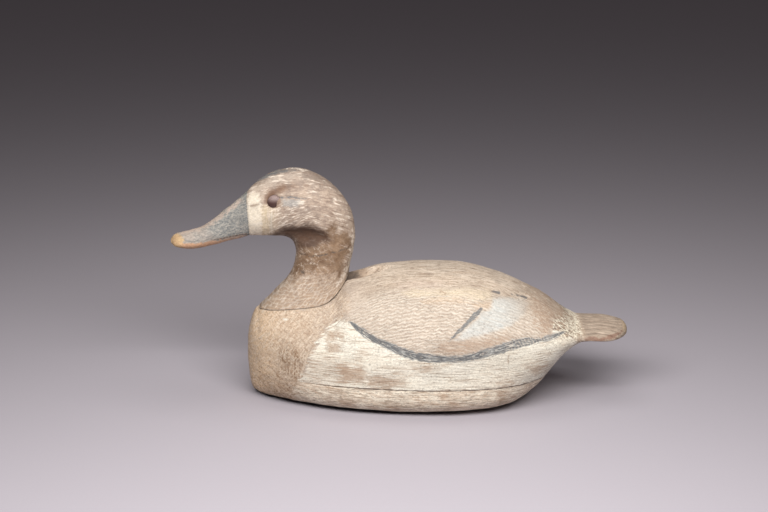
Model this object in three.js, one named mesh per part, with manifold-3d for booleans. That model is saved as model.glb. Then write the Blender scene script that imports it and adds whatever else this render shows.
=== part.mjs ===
// A carved and painted wooden duck decoy, in millimetres.
// The bird faces -X, its left side is -Y and +Z is up. The origin is on the table, at the middle of its box.
// The hollow-carved body block carries a flat paddle tail, a thin board closes it below, and the head, bill
// and neck are one carving that sits in a curved seat on the shoulders. The eyes are set in shallow sockets.
import * as THREE from "three";
import { mergeVertices } from "three/addons/utils/BufferGeometryUtils.js";
import Module from "manifold-3d";

// The body from the breast to the tail.
const BREAST_X = -144.9;
const BREAST_Z = 43;
const BREAST_ROUND_UP = { length: 12.4, height: 41.7 };
const BREAST_ROUND_DOWN = { length: 7, height: 40 };
const WIDEST_X = 35.5;
const HALF_WIDTH = 84;
const REAR_ELLIPSE = 150;
const TAIL_ROOT_X = 172;
const TAIL_BEND_X = 191;
const TAIL_TIP_X = 216.1;
const TAIL_HALF_WIDTH = 36.5;
const SEAM_Z = 29.5;
const JOINT_GAP = 0.3;
// A box that clears the whole bird.
const CLEAR = { length: 600, width: 240, height: 300 };

// [x, z] of the crown of the back from the nape out along the tail.
const BACK = [
  [-48.5, 116],
  [-38, 118],
  [-13, 123.2],
  [22, 125.4],
  [52, 124.5],
  [94, 114.6],
  [133, 96],
  [152, 82.6],
  [163, 75.2],
  [TAIL_ROOT_X, 72.2],
  [191, 71.4],
  [TAIL_TIP_X, 68.6],
];

// [x, z] of the middle of the hull below. The stretch under z = 0 is planed off flat.
const UNDERSIDE = [
  [-137.9, 3],
  [-132, 0.8],
  [-122, -0.5],
  [-105, -0.9],
  [-80, -0.5],
  [-50, -0.6],
  [0, -1.4],
  [30, -1.6],
  [75, -1.1],
  [103, -0.3],
  [110, 1],
  [118, 3.8],
  [127, 9.8],
  [140, 24],
  [152, 40],
  [169, 54.8],
  [180, 59],
  [191, 59.4],
  [TAIL_TIP_X, 60.5],
];

// [x, z] of the widest line of the hull.
const BEAM = [
  [BREAST_X, BREAST_Z],
  [-131, 48],
  [-94, 51.5],
  [0, 56.5],
  [78, 57.5],
  [115, 60],
  [155, 64],
  [180, 62.4],
  [TAIL_TIP_X, 62.6],
];

// [x, power] of the roundness of the hull above its widest line: sloping shoulders, then a full back.
const SHOULDERS = [
  [BREAST_X, 2],
  [-115, 1.7],
  [-80, 1.6],
  [-55, 1.65],
  [-15, 2],
  [40, 2.15],
  [TAIL_ROOT_X, 2],
];

// [x, power] of its roundness below that line: a boxy bilge, a hollow counter and a flat tail.
const BILGE = [
  [BREAST_X, 2.4],
  [-125, 2.75],
  [-100, 3.4],
  [-70, 4.3],
  [-30, 5],
  [50, 5],
  [80, 4.3],
  [105, 3],
  [125, 2.2],
  [165, 1.9],
  [178, 2.6],
  [TAIL_BEND_X, 3.4],
  [TAIL_TIP_X, 3],
];

// [x, z] of the seam between the neck and the shoulders, seen from the side, breast first.
const SEAT = [
  [-133.5, 84.6],
  [-124, 86.8],
  [-110, 88.8],
  [-93.5, 90.6],
  [-80.5, 92],
  [-70, 94.2],
  [-61.5, 98.8],
  [-55.8, 105.6],
  [-51.4, 112],
  [-48.5, 116],
];
const FOOT_HALF_WIDTH = 29;
const FOOT_FULLNESS = 2.3;
// How the neck's surface runs on above the rear end of the seam.
const NAPE_RUN = { length: 4, height: 9 };
// The seam has opened at the back of the neck.
const CRACK = { x: -61, length: 8, width: 1.7 };
// The neck spreads over its foot in this many steps, late, and runs on as a root that the seat cuts off.
const FLARE = { steps: 5, lateness: 1.6 };
const ROOT = { back: 6, down: 14 };

// The carving of the head and neck: each station has the outer point on the bill's ridge, crown or nape, the
// inner point on the bill's underside, throat or front of the neck, and half the width across.
const HEAD = [
  { outer: [-215.4, 151.2], inner: [-214.6, 147], half: 5 },
  { outer: [-212, 155], inner: [-211, 144.3], half: 9.6 },
  { outer: [-206, 157.1], inner: [-205.4, 142.9], half: 12.2 },
  { outer: [-197, 159.2], inner: [-197.5, 141.9], half: 13 },
  { outer: [-186, 163.2], inner: [-187, 142.8], half: 12.4 },
  { outer: [-174, 171], inner: [-176, 145.2], half: 11.6 },
  { outer: [-162, 181], inner: [-163, 148.7], half: 12.2 },
  { outer: [-150, 190.8], inner: [-151, 151.8], half: 14.6 },
  { outer: [-138, 202.2], inner: [-140, 154.7], half: 18.2 },
  { outer: [-125, 212.1], inner: [-128, 155.2], half: 21 },
  { outer: [-109, 217.9], inner: [-117, 154.8], half: 23.2 },
  { outer: [-93, 218.6], inner: [-108, 154.2], half: 24.6 },
  { outer: [-77, 213.4], inner: [-102.6, 152.2], half: 25 },
  { outer: [-62.8, 203.1], inner: [-99.8, 149.2], half: 24.4 },
  { outer: [-51, 189.6], inner: [-98.2, 144.4], half: 23 },
  { outer: [-44, 173.5], inner: [-97.6, 138.2], half: 21.6 },
  { outer: [-41.9, 157.5], inner: [-98.6, 130.4], half: 20.6 },
  { outer: [-43.5, 142.5], inner: [-102, 120.8], half: 21.2 },
  { outer: [-46.2, 130.5], inner: [-108.4, 110.4], half: 23.6 },
];
const HEAD_ROUNDNESS = 2.15;
// The bill and the forehead are narrower along their ridge, as far back as the crown.
const RIDGE = { taper: 0.17, from: 5, to: 12 };

// The cheek stands out over a hollow that runs under the jaw to the back of the neck.
const CHEEK = { x: -96, z: 182, length: 40, height: 24, swell: 0.1 };
const JAW = { x: -86, z: 157, length: 26, height: 10, hollow: 0.17 };

const EYE = { x: -116.4, z: 192.8, cheek: 22.6, radius: 5.4, thickness: 3.2, proud: 1.4 };
const NAPE_GROOVE = { x: -48, z: 124.5, length: 41, halfWidth: 14, depth: 17 };

const COLOURS = {
  body: { color: "#a89880", roughness: 0.85 },
  bottom_board: { color: "#b5a488", roughness: 0.88 },
  head_neck: { color: "#a7917c", roughness: 0.8 },
  eye: { color: "#2e1a16", roughness: 0.25 },
};

// A smooth curve through [x, y] points as a function of x, with no overshoot between them.
function through(points) {
  const steep = points.slice(1).map(([x, y], i) => (y - points[i][1]) / (x - points[i][0]));
  const lean = points.map((_, i) => {
    const before = steep[i - 1] ?? steep[i];
    const after = steep[i] ?? steep[i - 1];
    return before * after <= 0 ? 0 : (2 * before * after) / (before + after);
  });
  return (x) => {
    const last = points.length - 2;
    const found = points.findIndex(([px]) => px > x) - 1;
    const i = found < -1 ? last : Math.min(Math.max(found, 0), last);
    const span = points[i + 1][0] - points[i][0];
    const t = THREE.MathUtils.clamp((x - points[i][0]) / span, 0, 1);
    const a = points[i][1];
    const b = points[i + 1][1];
    const ease = t * t * (3 - 2 * t);
    const start = t * (1 - t) * (1 - t) * lean[i] * span;
    const end = t * t * (1 - t) * lean[i + 1] * span;
    return a + (b - a) * ease + start - end;
  };
}

const backAt = through(BACK);
const undersideAt = through(UNDERSIDE);
const beamAt = through(BEAM);
const shouldersAt = through(SHOULDERS);
const bilgeAt = through(BILGE);
const seatAt = through(SEAT);
const SEAT_FRONT = SEAT[0][0];
const SEAT_REAR = SEAT.at(-1)[0];

// A quarter ellipse's height, 0 to 1, at a distance from its tip along its length.
const quarter = (distance, length) => {
  const u = 1 - THREE.MathUtils.clamp(distance / length, 0, 1);
  return Math.sqrt(1 - u * u);
};

// Half the width of the neck's foot at x.
function footHalfWidth(x) {
  const u = Math.abs((2 * x - SEAT_FRONT - SEAT_REAR) / (SEAT_REAR - SEAT_FRONT));
  return FOOT_HALF_WIDTH * Math.pow(Math.max(0, 1 - Math.pow(u, FOOT_FULLNESS)), 1 / FOOT_FULLNESS);
}

// The crown that brings the hull's skin to the edge of the neck's foot, where it lies under the neck.
function crownUnderNeck(x, half, beam) {
  const power = shouldersAt(x);
  const share = Math.pow(1 - Math.pow(footHalfWidth(x) / half, power), 1 / power);
  return beam + (seatAt(x) - beam) / share;
}

// The hull's cross-section at x: its half width, crown, bottom and the height of its widest line.
function hullAt(x) {
  const front = HALF_WIDTH * quarter(x - BREAST_X, WIDEST_X - BREAST_X);
  const u = (x - WIDEST_X) / REAR_ELLIPSE;
  const rear = HALF_WIDTH * Math.sqrt(Math.max(0, 1 - u * u));
  const tail = TAIL_HALF_WIDTH * quarter(TAIL_TIP_X - x, TAIL_TIP_X - TAIL_BEND_X);
  const half = x < WIDEST_X ? front : Math.max(rear, tail);
  const beam = beamAt(x);
  const nose = x - BREAST_X;
  const rise = quarter(nose, BREAST_ROUND_UP.length) * BREAST_ROUND_UP.height;
  const drop = quarter(nose, BREAST_ROUND_DOWN.length) * BREAST_ROUND_DOWN.height;
  const thin = quarter(TAIL_TIP_X - x, TAIL_HALF_WIDTH / 8);
  const bottom = x < UNDERSIDE[0][0] ? BREAST_Z - drop : beam + (undersideAt(x) - beam) * thin;
  let top = beam + (backAt(x) - beam) * thin;
  if (x < SEAT_FRONT) {
    top = BREAST_Z + rise;
  } else if (x < SEAT_REAR) {
    top = crownUnderNeck(x, half, beam);
  }
  return { half, top, bottom, beam: THREE.MathUtils.clamp(beam, bottom, top) };
}

// A closed mesh over rings of equally many points, with a fan to the middle of each end ring.
function loft(rings) {
  const count = rings[0].length;
  const middle = (ring) => ring.reduce((sum, p) => sum.add(p), new THREE.Vector3()).divideScalar(count);
  const points = [...rings.flat(), middle(rings[0]), middle(rings.at(-1))];
  const first = rings.length * count;
  const faces = [];
  for (let j = 0; j < count; j++) {
    const k = (j + 1) % count;
    for (let i = 0; i < rings.length - 1; i++) {
      const a = i * count;
      const b = a + count;
      faces.push(a + j, a + k, b + k, a + j, b + k, b + j);
    }
    const end = first - count;
    faces.push(first, k, j, first + 1, end + j, end + k);
  }
  const geometry = new THREE.BufferGeometry().setFromPoints(points);
  geometry.setIndex(faces);
  return geometry;
}

const wasm = await Module();
wasm.setup();

function solid(geometry) {
  const bare = geometry.clone();
  bare.deleteAttribute("normal");
  bare.deleteAttribute("uv");
  const merged = mergeVertices(bare, 1e-4);
  const triVerts = new Uint32Array(merged.index.array);
  return new wasm.Manifold(
    new wasm.Mesh({ numProp: 3, vertProperties: merged.attributes.position.array, triVerts }),
  );
}

function piece(name, shape, finish) {
  const { vertProperties, triVerts } = shape.getMesh();
  const geometry = new THREE.BufferGeometry();
  geometry.setAttribute("position", new THREE.BufferAttribute(vertProperties, 3));
  geometry.setIndex(new THREE.BufferAttribute(triVerts, 1));
  geometry.computeVertexNormals();
  const material = new THREE.MeshStandardMaterial({ ...finish, metalness: 0 });
  const mesh = new THREE.Mesh(geometry, material);
  mesh.name = name;
  return mesh;
}

// A rounded cross-section standing across X, with its own roundness above and below the widest line.
function hullRing(x, count) {
  const { half, top, bottom, beam } = hullAt(x);
  return Array.from({ length: count }, (_, j) => {
    const angle = (2 * Math.PI * j) / count;
    const c = Math.cos(angle);
    const s = Math.sin(angle);
    const power = 2 / (s > 0 ? shouldersAt(x) : bilgeAt(x));
    const y = half * Math.sign(c) * Math.pow(Math.abs(c), power);
    const height = (s > 0 ? top : bottom) - beam;
    return new THREE.Vector3(x, y, beam + height * Math.pow(Math.abs(s), power));
  });
}

// The whole hull from breast to tail, with its rings closer together where its ends turn in.
function hull() {
  const rounds = 40;
  const noseRings = 8;
  const noseLength = 14;
  const tailRings = 7;
  const spacing = 7.6;
  const quarterTurn = Math.PI / 2;
  const places = [];
  for (let i = 1; i <= noseRings; i++) {
    places.push(BREAST_X + noseLength * (1 - Math.cos((i / noseRings) * quarterTurn)));
  }
  const bodyLength = TAIL_BEND_X - BREAST_X - noseLength;
  const steps = Math.round(bodyLength / spacing);
  for (let i = 1; i <= steps; i++) {
    places.push(BREAST_X + noseLength + (i / steps) * bodyLength);
  }
  for (let i = 1; i <= tailRings; i++) {
    const reach = Math.sin(((i - 0.1) / tailRings) * quarterTurn);
    places.push(TAIL_BEND_X + (TAIL_TIP_X - TAIL_BEND_X) * reach);
  }
  return solid(loft(places.map((x) => hullRing(x, rounds))));
}

// A block wider and longer than the bird, between two heights.
function slab(low, high) {
  const box = new THREE.BoxGeometry(CLEAR.length, CLEAR.width, high - low);
  return solid(box.translate(0, 0, (low + high) / 2));
}

// Everything above the neck seam, with its lower edge lifted by a distance that depends on x.
function aboveSeat(liftAt) {
  const steps = 24;
  const front = -CLEAR.length / 2;
  const outline = new THREE.Shape();
  outline.moveTo(front, CLEAR.height);
  outline.lineTo(front, 0);
  for (let i = 0; i <= steps; i++) {
    const x = SEAT_FRONT + ((SEAT_REAR - SEAT_FRONT) * i) / steps;
    outline.lineTo(x, seatAt(x) + liftAt(x));
  }
  outline.lineTo(SEAT_REAR + NAPE_RUN.length, seatAt(SEAT_REAR) + NAPE_RUN.height);
  outline.lineTo(0, CLEAR.height);
  outline.closePath();
  const block = new THREE.ExtrudeGeometry(outline, { depth: CLEAR.width, bevelEnabled: false });
  return solid(block.rotateX(Math.PI / 2).translate(0, CLEAR.width / 2, 0));
}

// A soft swelling over the side of the head, 1 at its middle.
function bump(x, z, form) {
  const u = (x - form.x) / form.length;
  const v = (z - form.z) / form.height;
  return Math.exp(-u * u - v * v);
}

// The bill, head and neck over their stations, then the flare down to the neck's foot, flush with the hull.
function headAndNeck() {
  const rounds = 32;
  const perStation = 2;
  const at = (key) => HEAD.map((station) => new THREE.Vector3(station[key][0], 0, station[key][1]));
  const outer = new THREE.CatmullRomCurve3(at("outer"));
  const inner = new THREE.CatmullRomCurve3(at("inner"));
  const halfAt = through(HEAD.map((station, i) => [i, station.half]));
  const last = HEAD.length - 1;
  const steps = Math.round(last * perStation);
  const rings = [];
  for (let i = 0; i <= steps; i++) {
    const u = i / steps;
    const o = outer.getPoint(u);
    const m = o.clone().add(inner.getPoint(u)).multiplyScalar(0.5);
    const arm = o.clone().sub(m);
    const half = halfAt(u * last);
    const taper = RIDGE.taper * (1 - THREE.MathUtils.smoothstep(u * last, RIDGE.from, RIDGE.to));
    const ring = [];
    for (let j = 0; j < rounds; j++) {
      const angle = (2 * Math.PI * j) / rounds;
      const c = Math.cos(angle);
      const s = Math.sin(angle);
      const along = Math.sign(c) * Math.pow(Math.abs(c), 2 / HEAD_ROUNDNESS);
      const across = Math.sign(s) * Math.pow(Math.abs(s), 2 / HEAD_ROUNDNESS);
      const p = m.clone().addScaledVector(arm, along);
      const form = 1 + CHEEK.swell * bump(p.x, p.z, CHEEK) - JAW.hollow * bump(p.x, p.z, JAW);
      p.y = -half * across * form * (1 - taper * along);
      ring.push(p);
    }
    rings.push(ring);
  }
  const foot = footRing(rounds);
  const neck = rings.at(-1);
  for (let i = 1; i <= FLARE.steps; i++) {
    const t = i / FLARE.steps;
    const spread = Math.pow(t, FLARE.lateness);
    const ring = neck.map((p, j) => p.clone().lerp(foot[j], t));
    ring.forEach((p, j) => (p.y = THREE.MathUtils.lerp(neck[j].y, foot[j].y, spread)));
    rings.push(ring);
  }
  rings.push(foot.map((p) => new THREE.Vector3(p.x + ROOT.back, p.y, p.z - ROOT.down)));
  return solid(loft(rings));
}

// The foot of the neck: from the nape round both sides to the breast, on the seam and on the hull's skin.
function footRing(rounds) {
  return Array.from({ length: rounds }, (_, j) => {
    const angle = (2 * Math.PI * j) / rounds;
    const x = (SEAT_FRONT + SEAT_REAR) / 2 + ((SEAT_REAR - SEAT_FRONT) / 2) * Math.cos(angle);
    return new THREE.Vector3(x, -Math.sign(Math.sin(angle)) * footHalfWidth(x), seatAt(x));
  });
}

// A lens-shaped eye, or with some growth the socket that it sits in.
function eye(side, growth) {
  const ball = new THREE.SphereGeometry(1, 16, 9);
  ball.scale(EYE.radius + growth, EYE.thickness + growth, EYE.radius + growth);
  return solid(ball.translate(EYE.x, side * (EYE.cheek + EYE.proud - EYE.thickness), EYE.z));
}

// The hollow worn behind the neck along the middle of the back.
function napeGroove() {
  const ball = new THREE.SphereGeometry(1, 20, 12);
  ball.scale(NAPE_GROOVE.length, NAPE_GROOVE.halfWidth, NAPE_GROOVE.depth);
  return solid(ball.translate(NAPE_GROOVE.x, 0, NAPE_GROOVE.z));
}

const halfGap = JOINT_GAP / 2;
const crackAt = (x) => CRACK.width * Math.exp(-Math.pow((x - CRACK.x) / CRACK.length, 2));
const whole = hull();
const body = whole
  .intersect(slab(SEAM_Z + halfGap, CLEAR.height))
  .subtract(aboveSeat(() => -halfGap))
  .subtract(napeGroove());
const board = whole.intersect(slab(0, SEAM_Z - halfGap));
const head = headAndNeck()
  .intersect(aboveSeat((x) => halfGap + crackAt(x)))
  .subtract(eye(-1, JOINT_GAP))
  .subtract(eye(1, JOINT_GAP));

const group = new THREE.Group();
group.add(piece("body", body, COLOURS.body));
group.add(piece("bottom_board", board, COLOURS.bottom_board));
group.add(piece("head_neck", head, COLOURS.head_neck));
group.add(piece("eye_left", eye(-1, 0), COLOURS.eye));
group.add(piece("eye_right", eye(1, 0), COLOURS.eye));

export default group;
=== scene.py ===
import math

import bmesh
import bpy
import numpy as np
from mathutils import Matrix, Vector


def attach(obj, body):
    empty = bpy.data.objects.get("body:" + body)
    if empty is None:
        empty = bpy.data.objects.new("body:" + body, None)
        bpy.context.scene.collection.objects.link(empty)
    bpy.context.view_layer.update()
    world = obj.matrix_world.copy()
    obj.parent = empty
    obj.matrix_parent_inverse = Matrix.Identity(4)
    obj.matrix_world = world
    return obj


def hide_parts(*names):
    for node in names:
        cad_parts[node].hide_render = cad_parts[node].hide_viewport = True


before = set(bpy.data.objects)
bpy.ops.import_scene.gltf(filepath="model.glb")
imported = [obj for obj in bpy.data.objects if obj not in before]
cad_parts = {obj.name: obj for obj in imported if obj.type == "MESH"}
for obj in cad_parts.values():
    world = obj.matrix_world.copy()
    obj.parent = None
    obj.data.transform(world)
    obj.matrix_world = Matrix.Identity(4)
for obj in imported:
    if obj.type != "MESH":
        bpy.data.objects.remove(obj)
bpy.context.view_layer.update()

# A carved and painted wooden duck decoy. It faces -X, its left side is -Y and +Z is up.
# Forms are worked out in millimetres and written to the meshes in metres.
MM = 0.001

# The camera looks square on to the bird's left side, a little from above. PIXEL is what one pixel spans at
# AIM in millimetres, FOCAL is the focal length in pixels and DISTANCE is the way from AIM in millimetres.
LENS = 85
SENSOR = 36
FRAME_WIDTH = 768
FRAME_HEIGHT = 512
PIXEL = 0.943
FOCAL = FRAME_WIDTH * LENS / SENSOR
DISTANCE = PIXEL * FRAME_WIDTH * LENS / SENSOR
AIM = (-14.7, 0.0, 134.0)
ELEVATION = math.radians(16)
FAR_CLIP = 50

# The body, as the solids have it.
BREAST_X = -144.9
BREAST_Z = 43
BREAST_ROUND_UP = (12.4, 41.7)
BREAST_ROUND_DOWN = (7, 40)
WIDEST_X = 35.5
HALF_WIDTH = 84
REAR_ELLIPSE = 150
TAIL_ROOT_X = 172
TAIL_BEND_X = 191
TAIL_TIP_X = 216.1
TAIL_HALF_WIDTH = 36.5
SEAM_Z = 29.5
# Half the joint at the neck and at the bottom board.
HALF_GAP = 0.15
SEAM_HALF_GAP = 0.05
BACK = [(-48.5, 116), (-38, 118), (-13, 123.2), (22, 125.4), (52, 124.5), (94, 114.6), (133, 96),
        (152, 82.6), (163, 75.2), (TAIL_ROOT_X, 72.2), (191, 71.4), (TAIL_TIP_X, 68.6)]
UNDERSIDE = [(-137.9, 3), (-132, 0.8), (-122, -0.5), (-105, -0.9), (-80, -0.5), (-50, -0.6), (0, -1.4),
             (30, -1.6), (75, -1.1), (103, -0.3), (110, 1), (118, 3.8), (127, 9.8), (140, 24), (152, 40),
             (169, 54.8), (180, 59), (191, 59.4), (TAIL_TIP_X, 60.5)]
BEAM = [(BREAST_X, BREAST_Z), (-131, 48), (-94, 51.5), (0, 56.5), (78, 57.5), (115, 60), (155, 64),
        (180, 62.4), (TAIL_TIP_X, 62.6)]
SHOULDERS = [(BREAST_X, 2), (-115, 1.7), (-80, 1.6), (-55, 1.65), (-15, 2), (40, 2.15), (TAIL_ROOT_X, 2)]
BILGE = [(BREAST_X, 2.4), (-125, 2.75), (-100, 3.4), (-70, 4.3), (-30, 5), (50, 5), (80, 4.3), (105, 3),
         (125, 2.2), (165, 1.9), (178, 2.6), (TAIL_BEND_X, 3.4), (TAIL_TIP_X, 3)]
SEAT = [(-133.5, 84.6), (-124, 86.8), (-110, 88.8), (-93.5, 90.6), (-80.5, 92), (-70, 94.2), (-61.5, 98.8),
        (-55.8, 105.6), (-51.4, 112), (-48.5, 116)]
SEAT_FRONT = SEAT[0][0]
SEAT_REAR = SEAT[-1][0]
FOOT_HALF_WIDTH = 29
FOOT_FULLNESS = 2.3
NAPE_RUN = (4, 9)
CRACK = {"x": -61, "length": 8, "width": 1.7}
NAPE_GROOVE = {"x": -48, "z": 124.5, "length": 41, "half_width": 14, "depth": 17}

# The head: outer point, inner point and half the width across, from the bill's tip to the neck.
HEAD = [((-215.4, 151.2), (-214.6, 147), 5), ((-212, 155), (-211, 144.3), 9.6),
        ((-206, 157.1), (-205.4, 142.9), 12.2), ((-197, 159.2), (-197.5, 141.9), 13),
        ((-186, 163.2), (-187, 142.8), 12.4), ((-174, 171), (-176, 145.2), 11.6),
        ((-162, 181), (-163, 148.7), 12.2), ((-150, 190.8), (-151, 151.8), 14.6),
        ((-138, 202.2), (-140, 154.7), 18.2), ((-125, 212.1), (-128, 155.2), 21),
        ((-109, 217.9), (-117, 154.8), 23.2), ((-93, 218.6), (-108, 154.2), 24.6),
        ((-77, 213.4), (-102.6, 152.2), 25), ((-62.8, 203.1), (-99.8, 149.2), 24.4),
        ((-51, 189.6), (-98.2, 144.4), 23), ((-44, 173.5), (-97.6, 138.2), 21.6),
        ((-41.9, 157.5), (-98.6, 130.4), 20.6), ((-43.5, 142.5), (-102, 120.8), 21.2),
        ((-46.2, 130.5), (-108.4, 110.4), 23.6)]
HEAD_ROUNDNESS = 2.15
FLARE_LATENESS = 1.6
NECK_ROOT = (6, 0, -14)
RIDGE = {"taper": 0.17, "from": 5, "to": 12}
CHEEK = {"x": -96, "z": 182, "length": 40, "height": 24, "swell": 0.1}
JAW = {"x": -86, "z": 157, "length": 26, "height": 10, "hollow": 0.17}
# The eye shows a little larger, lower and further back than the solid's.
EYE = {"x": -115.7, "z": 191.8, "cheek": 22.6, "radius": 6.6, "thickness": 3.4, "proud": 1.5}

# How finely the skins are divided: rings along a form and points round a ring. The hull's points are tried
# more finely first, and then shared out evenly. The rounded nose's length and the rings' spacing are in
# millimetres, and the last ring of the tail stops short of the tip by a part of a step.
NOSE_LENGTH = 14
NOSE_RINGS = 24
RING_SPACING = 1.3
TAIL_RINGS = 24
TIP_SHORT = 0.1
HULL_POINTS = 330
HULL_TRIAL_POINTS = 1440
HEAD_RINGS = 300
HEAD_POINTS = 176
SHORTEST_STEP = 1e-4
FLARE_RINGS = 36
SEAT_POINTS = 70
GIRTH_STEPS = 24
EYE_SEGMENTS = 48
WELD = 1e-7
TINY = 1e-9

# Edges that turn by more than this many degrees are shaded as sharp.
HULL_CREASE = 40
HEAD_CREASE = 50
EYE_CREASE = 60

# A cutter's outline and half width lie this far out, clear of the bird, in millimetres.
CLEAR = 300
CLEAR_SIDE = 120

# The knife's ripple over a piece: depth, seed, and wavelength on each axis, in millimetres.
BODY_RIPPLES = [(0.2, 3, (80, 24, 24)), (0.07, 4, (18, 7, 7))]
HEAD_RIPPLES = [(0.14, 7, (20, 12, 16)), (0.05, 8, (6, 5, 6))]
BREAKS_SEED = 9
BREAKS_LENGTH = 9

# The grooves along the tail, with their places across it, in millimetres.
TAIL_GROOVES = (-31, -23.5, -15.5, -8, -0.5, 7.5, 15, 23, 30.5)
GROOVE = {"depth": 0.75, "width": 1.5, "start": (172, 180), "end": (206, 213), "facing_up": (0.3, 0.8)}
GROOVE_SWAY = {"slow": 0.9, "slow_length": 7, "quick": 0.6, "quick_length": 3.1, "quick_across": 4}

# The low carving of the head: depths in millimetres, and reaches in pixels of the camera's picture.
SIDE_FROM_RIDGE = (2, 9)
BROW_HOLLOW = {"depth": 0.9, "from": -2.4, "to": 6}
EYE_HOLLOW = {"depth": 0.8, "radius": 6.4, "width": 2}
STREAK_GROOVE = {"depth": 0.5, "width": 1.1}
JAW_HOLLOW = {"depth": 2.6, "from": -8, "to": 1.5}
BILL_GROOVE = {"depth": 0.5, "width": 1.0}
BILL_STEP = {"depth": 0.3, "from": -1.5, "to": 1}
CRACK_GROOVE = {"depth": 0.6, "width": 0.8}
CRACK_BREAKS = (-0.6, 0.5)
KNOT_HOLLOW = {"depth": 0.9, "from": -1, "to": 0.8}

# The comb's rows down the back, in millimetres.
COMB_PITCH = 3.3
COMB_WAVE = 8.6
COMB_SWING = 0.6

# Painted outlines are drawn on the camera's picture of the left side, in its pixels, and the right side
# mirrors them. A line has its half width at each point, and a patch is a closed outline.
BODY_LINES = {
    "wing_line": [(350, 322, 1.5), (361, 331, 3), (375, 340, 3.2), (388, 345.5, 3.6), (402, 352, 4.4),
        (416, 356.5, 4.6), (434, 359, 4), (451, 359.4, 3.4), (463, 359, 3), (475, 356.5, 3.8),
        (488, 352.5, 4.4), (501, 349, 4.6), (513, 345, 4.8), (525, 342, 4.4), (534, 341, 3.4),
        (541, 340, 2), (550, 337.6, 2.4), (558, 334.4, 2.2), (564, 332, 1)],
    "wing_stripe": [(449, 341, 0.4), (462, 328.5, 1.9), (470, 320.5, 2.2), (475, 315, 2.3),
        (481.5, 309, 1.5)],
    "tail_near_edge": [(577, 339.6, 1.8), (600, 339.6, 2.2), (614, 336.6, 2), (622, 331, 1)],
    "breast_edge": [(311, 344, 0.5), (307.5, 354, 0.9), (304.5, 364, 0.9), (301.5, 374, 0.6),
        (299, 380, 0.3)],
    "side_scratch": [(509.5, 353, 0.4), (508, 359, 0.7), (508.5, 366, 0.4)],
    "brown_nicks": [(440, 290.5, 0.9), (445, 293.5, 1.1)]}

BODY_PATCHES = {
    "breast": [(220, 300), (262, 303), (300, 310), (330, 302), (341, 286), (349, 300), (349, 313),
        (338, 321), (330, 326), (320, 339), (314, 349), (309, 360), (305, 371), (301, 378), (298, 388),
        (290, 420), (220, 420)],
    "breast_dark": [(280, 352), (296, 347), (310, 350), (307, 363), (301, 377), (290, 379), (277, 372)],
    "white_side": [(290, 430), (298, 388), (301, 378), (305, 371), (309, 360), (314, 349), (320, 339),
        (330, 326), (338, 321), (350, 322), (361, 331), (375, 340), (388, 345.5), (402, 352), (416, 356.5),
        (434, 359), (463, 359), (488, 352.5), (501, 349), (525, 341.5), (551, 338), (572, 338), (582, 345),
        (560, 380), (540, 400), (500, 430)],
    "thin_white": [(303, 352), (318, 350), (330, 356), (344, 362), (350, 380), (340, 392), (300, 392),
        (296, 384)],
    "speculum": [(493, 298), (526, 298), (530, 303), (524, 315), (512, 325), (497, 331), (464, 339.5),
        (456, 340), (466, 329), (476, 321), (483, 312), (491, 309)],
    "cream_band": [(402, 293), (414, 289), (440, 289.5), (466, 288.5), (490, 290), (493, 298), (482, 302),
        (462, 297.5), (436, 297), (412, 297)],
    "pink_band": [(396, 284), (412, 280), (438, 281), (442, 286), (430, 289), (400, 289)],
    "lower_tan": [(440, 343), (462, 340), (480, 340), (506, 334), (514, 336), (500, 345), (478, 353),
        (452, 356), (434, 353)],
    "rear_brown": [(527, 296), (541, 291), (556, 303), (570, 312), (578, 318), (572, 335), (556, 336),
        (541, 333), (535, 316)],
    "root_flecks": [(554, 320), (564, 314), (573, 314), (576, 322), (576, 336), (572, 341), (562, 339),
        (554, 333)],
    "root_cream": [(571, 320), (575, 315), (579, 320), (582, 333), (577, 340), (572, 337)]}

# Patches and lines that share one colour.
ORANGE_PATCHES = [
    [(472, 304), (482, 302), (491.5, 301), (491, 307), (484, 309.5), (474, 307)],
    [(420, 300.5), (440, 298), (468, 299.5), (470, 303), (448, 303), (424, 304)]]
WORN_SPOTS = [
    [(337, 366), (345, 362), (352, 367), (361, 364), (366, 372), (367, 382), (352, 384), (340, 382)],
    [(324, 331), (343, 330), (344, 340), (326, 341.5)],
    [(326, 342), (340, 341), (341, 351), (328, 352)],
    [(366, 378), (380, 376), (407, 379), (406, 386), (384, 388), (368, 386)],
    [(422, 365.5), (430, 364.5), (431, 369), (423, 370)],
    [(356, 352), (364, 349), (366, 354), (358, 356)],
    [(392, 373), (420, 370.5), (450, 365), (450, 366), (421, 372.5), (393, 375)],
    [(498, 384), (512, 381), (518, 384), (504, 387)],
    [(528, 368), (541, 364), (548, 366), (536, 375)],
    [(386, 406), (398, 405), (399, 410), (387, 411)],
    [(440, 392), (447, 391), (449, 398), (441, 400)],
    [(448, 401), (457, 400), (458, 407), (449, 409)],
    [(498, 392), (504, 391), (504, 402), (499, 402)],
    [(340, 402), (352, 402), (354, 407), (342, 406)]]
DARK_NICKS = [[(491, 291.6, 0.7), (499, 292.8, 1.2)], [(511, 294, 0.5), (526, 297.5, 1)]]
PALE_NICKS = [[(284, 319.2, 1), (287, 319.6, 1)], [(553, 331.4, 1), (559, 332, 0.7)]]

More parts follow.
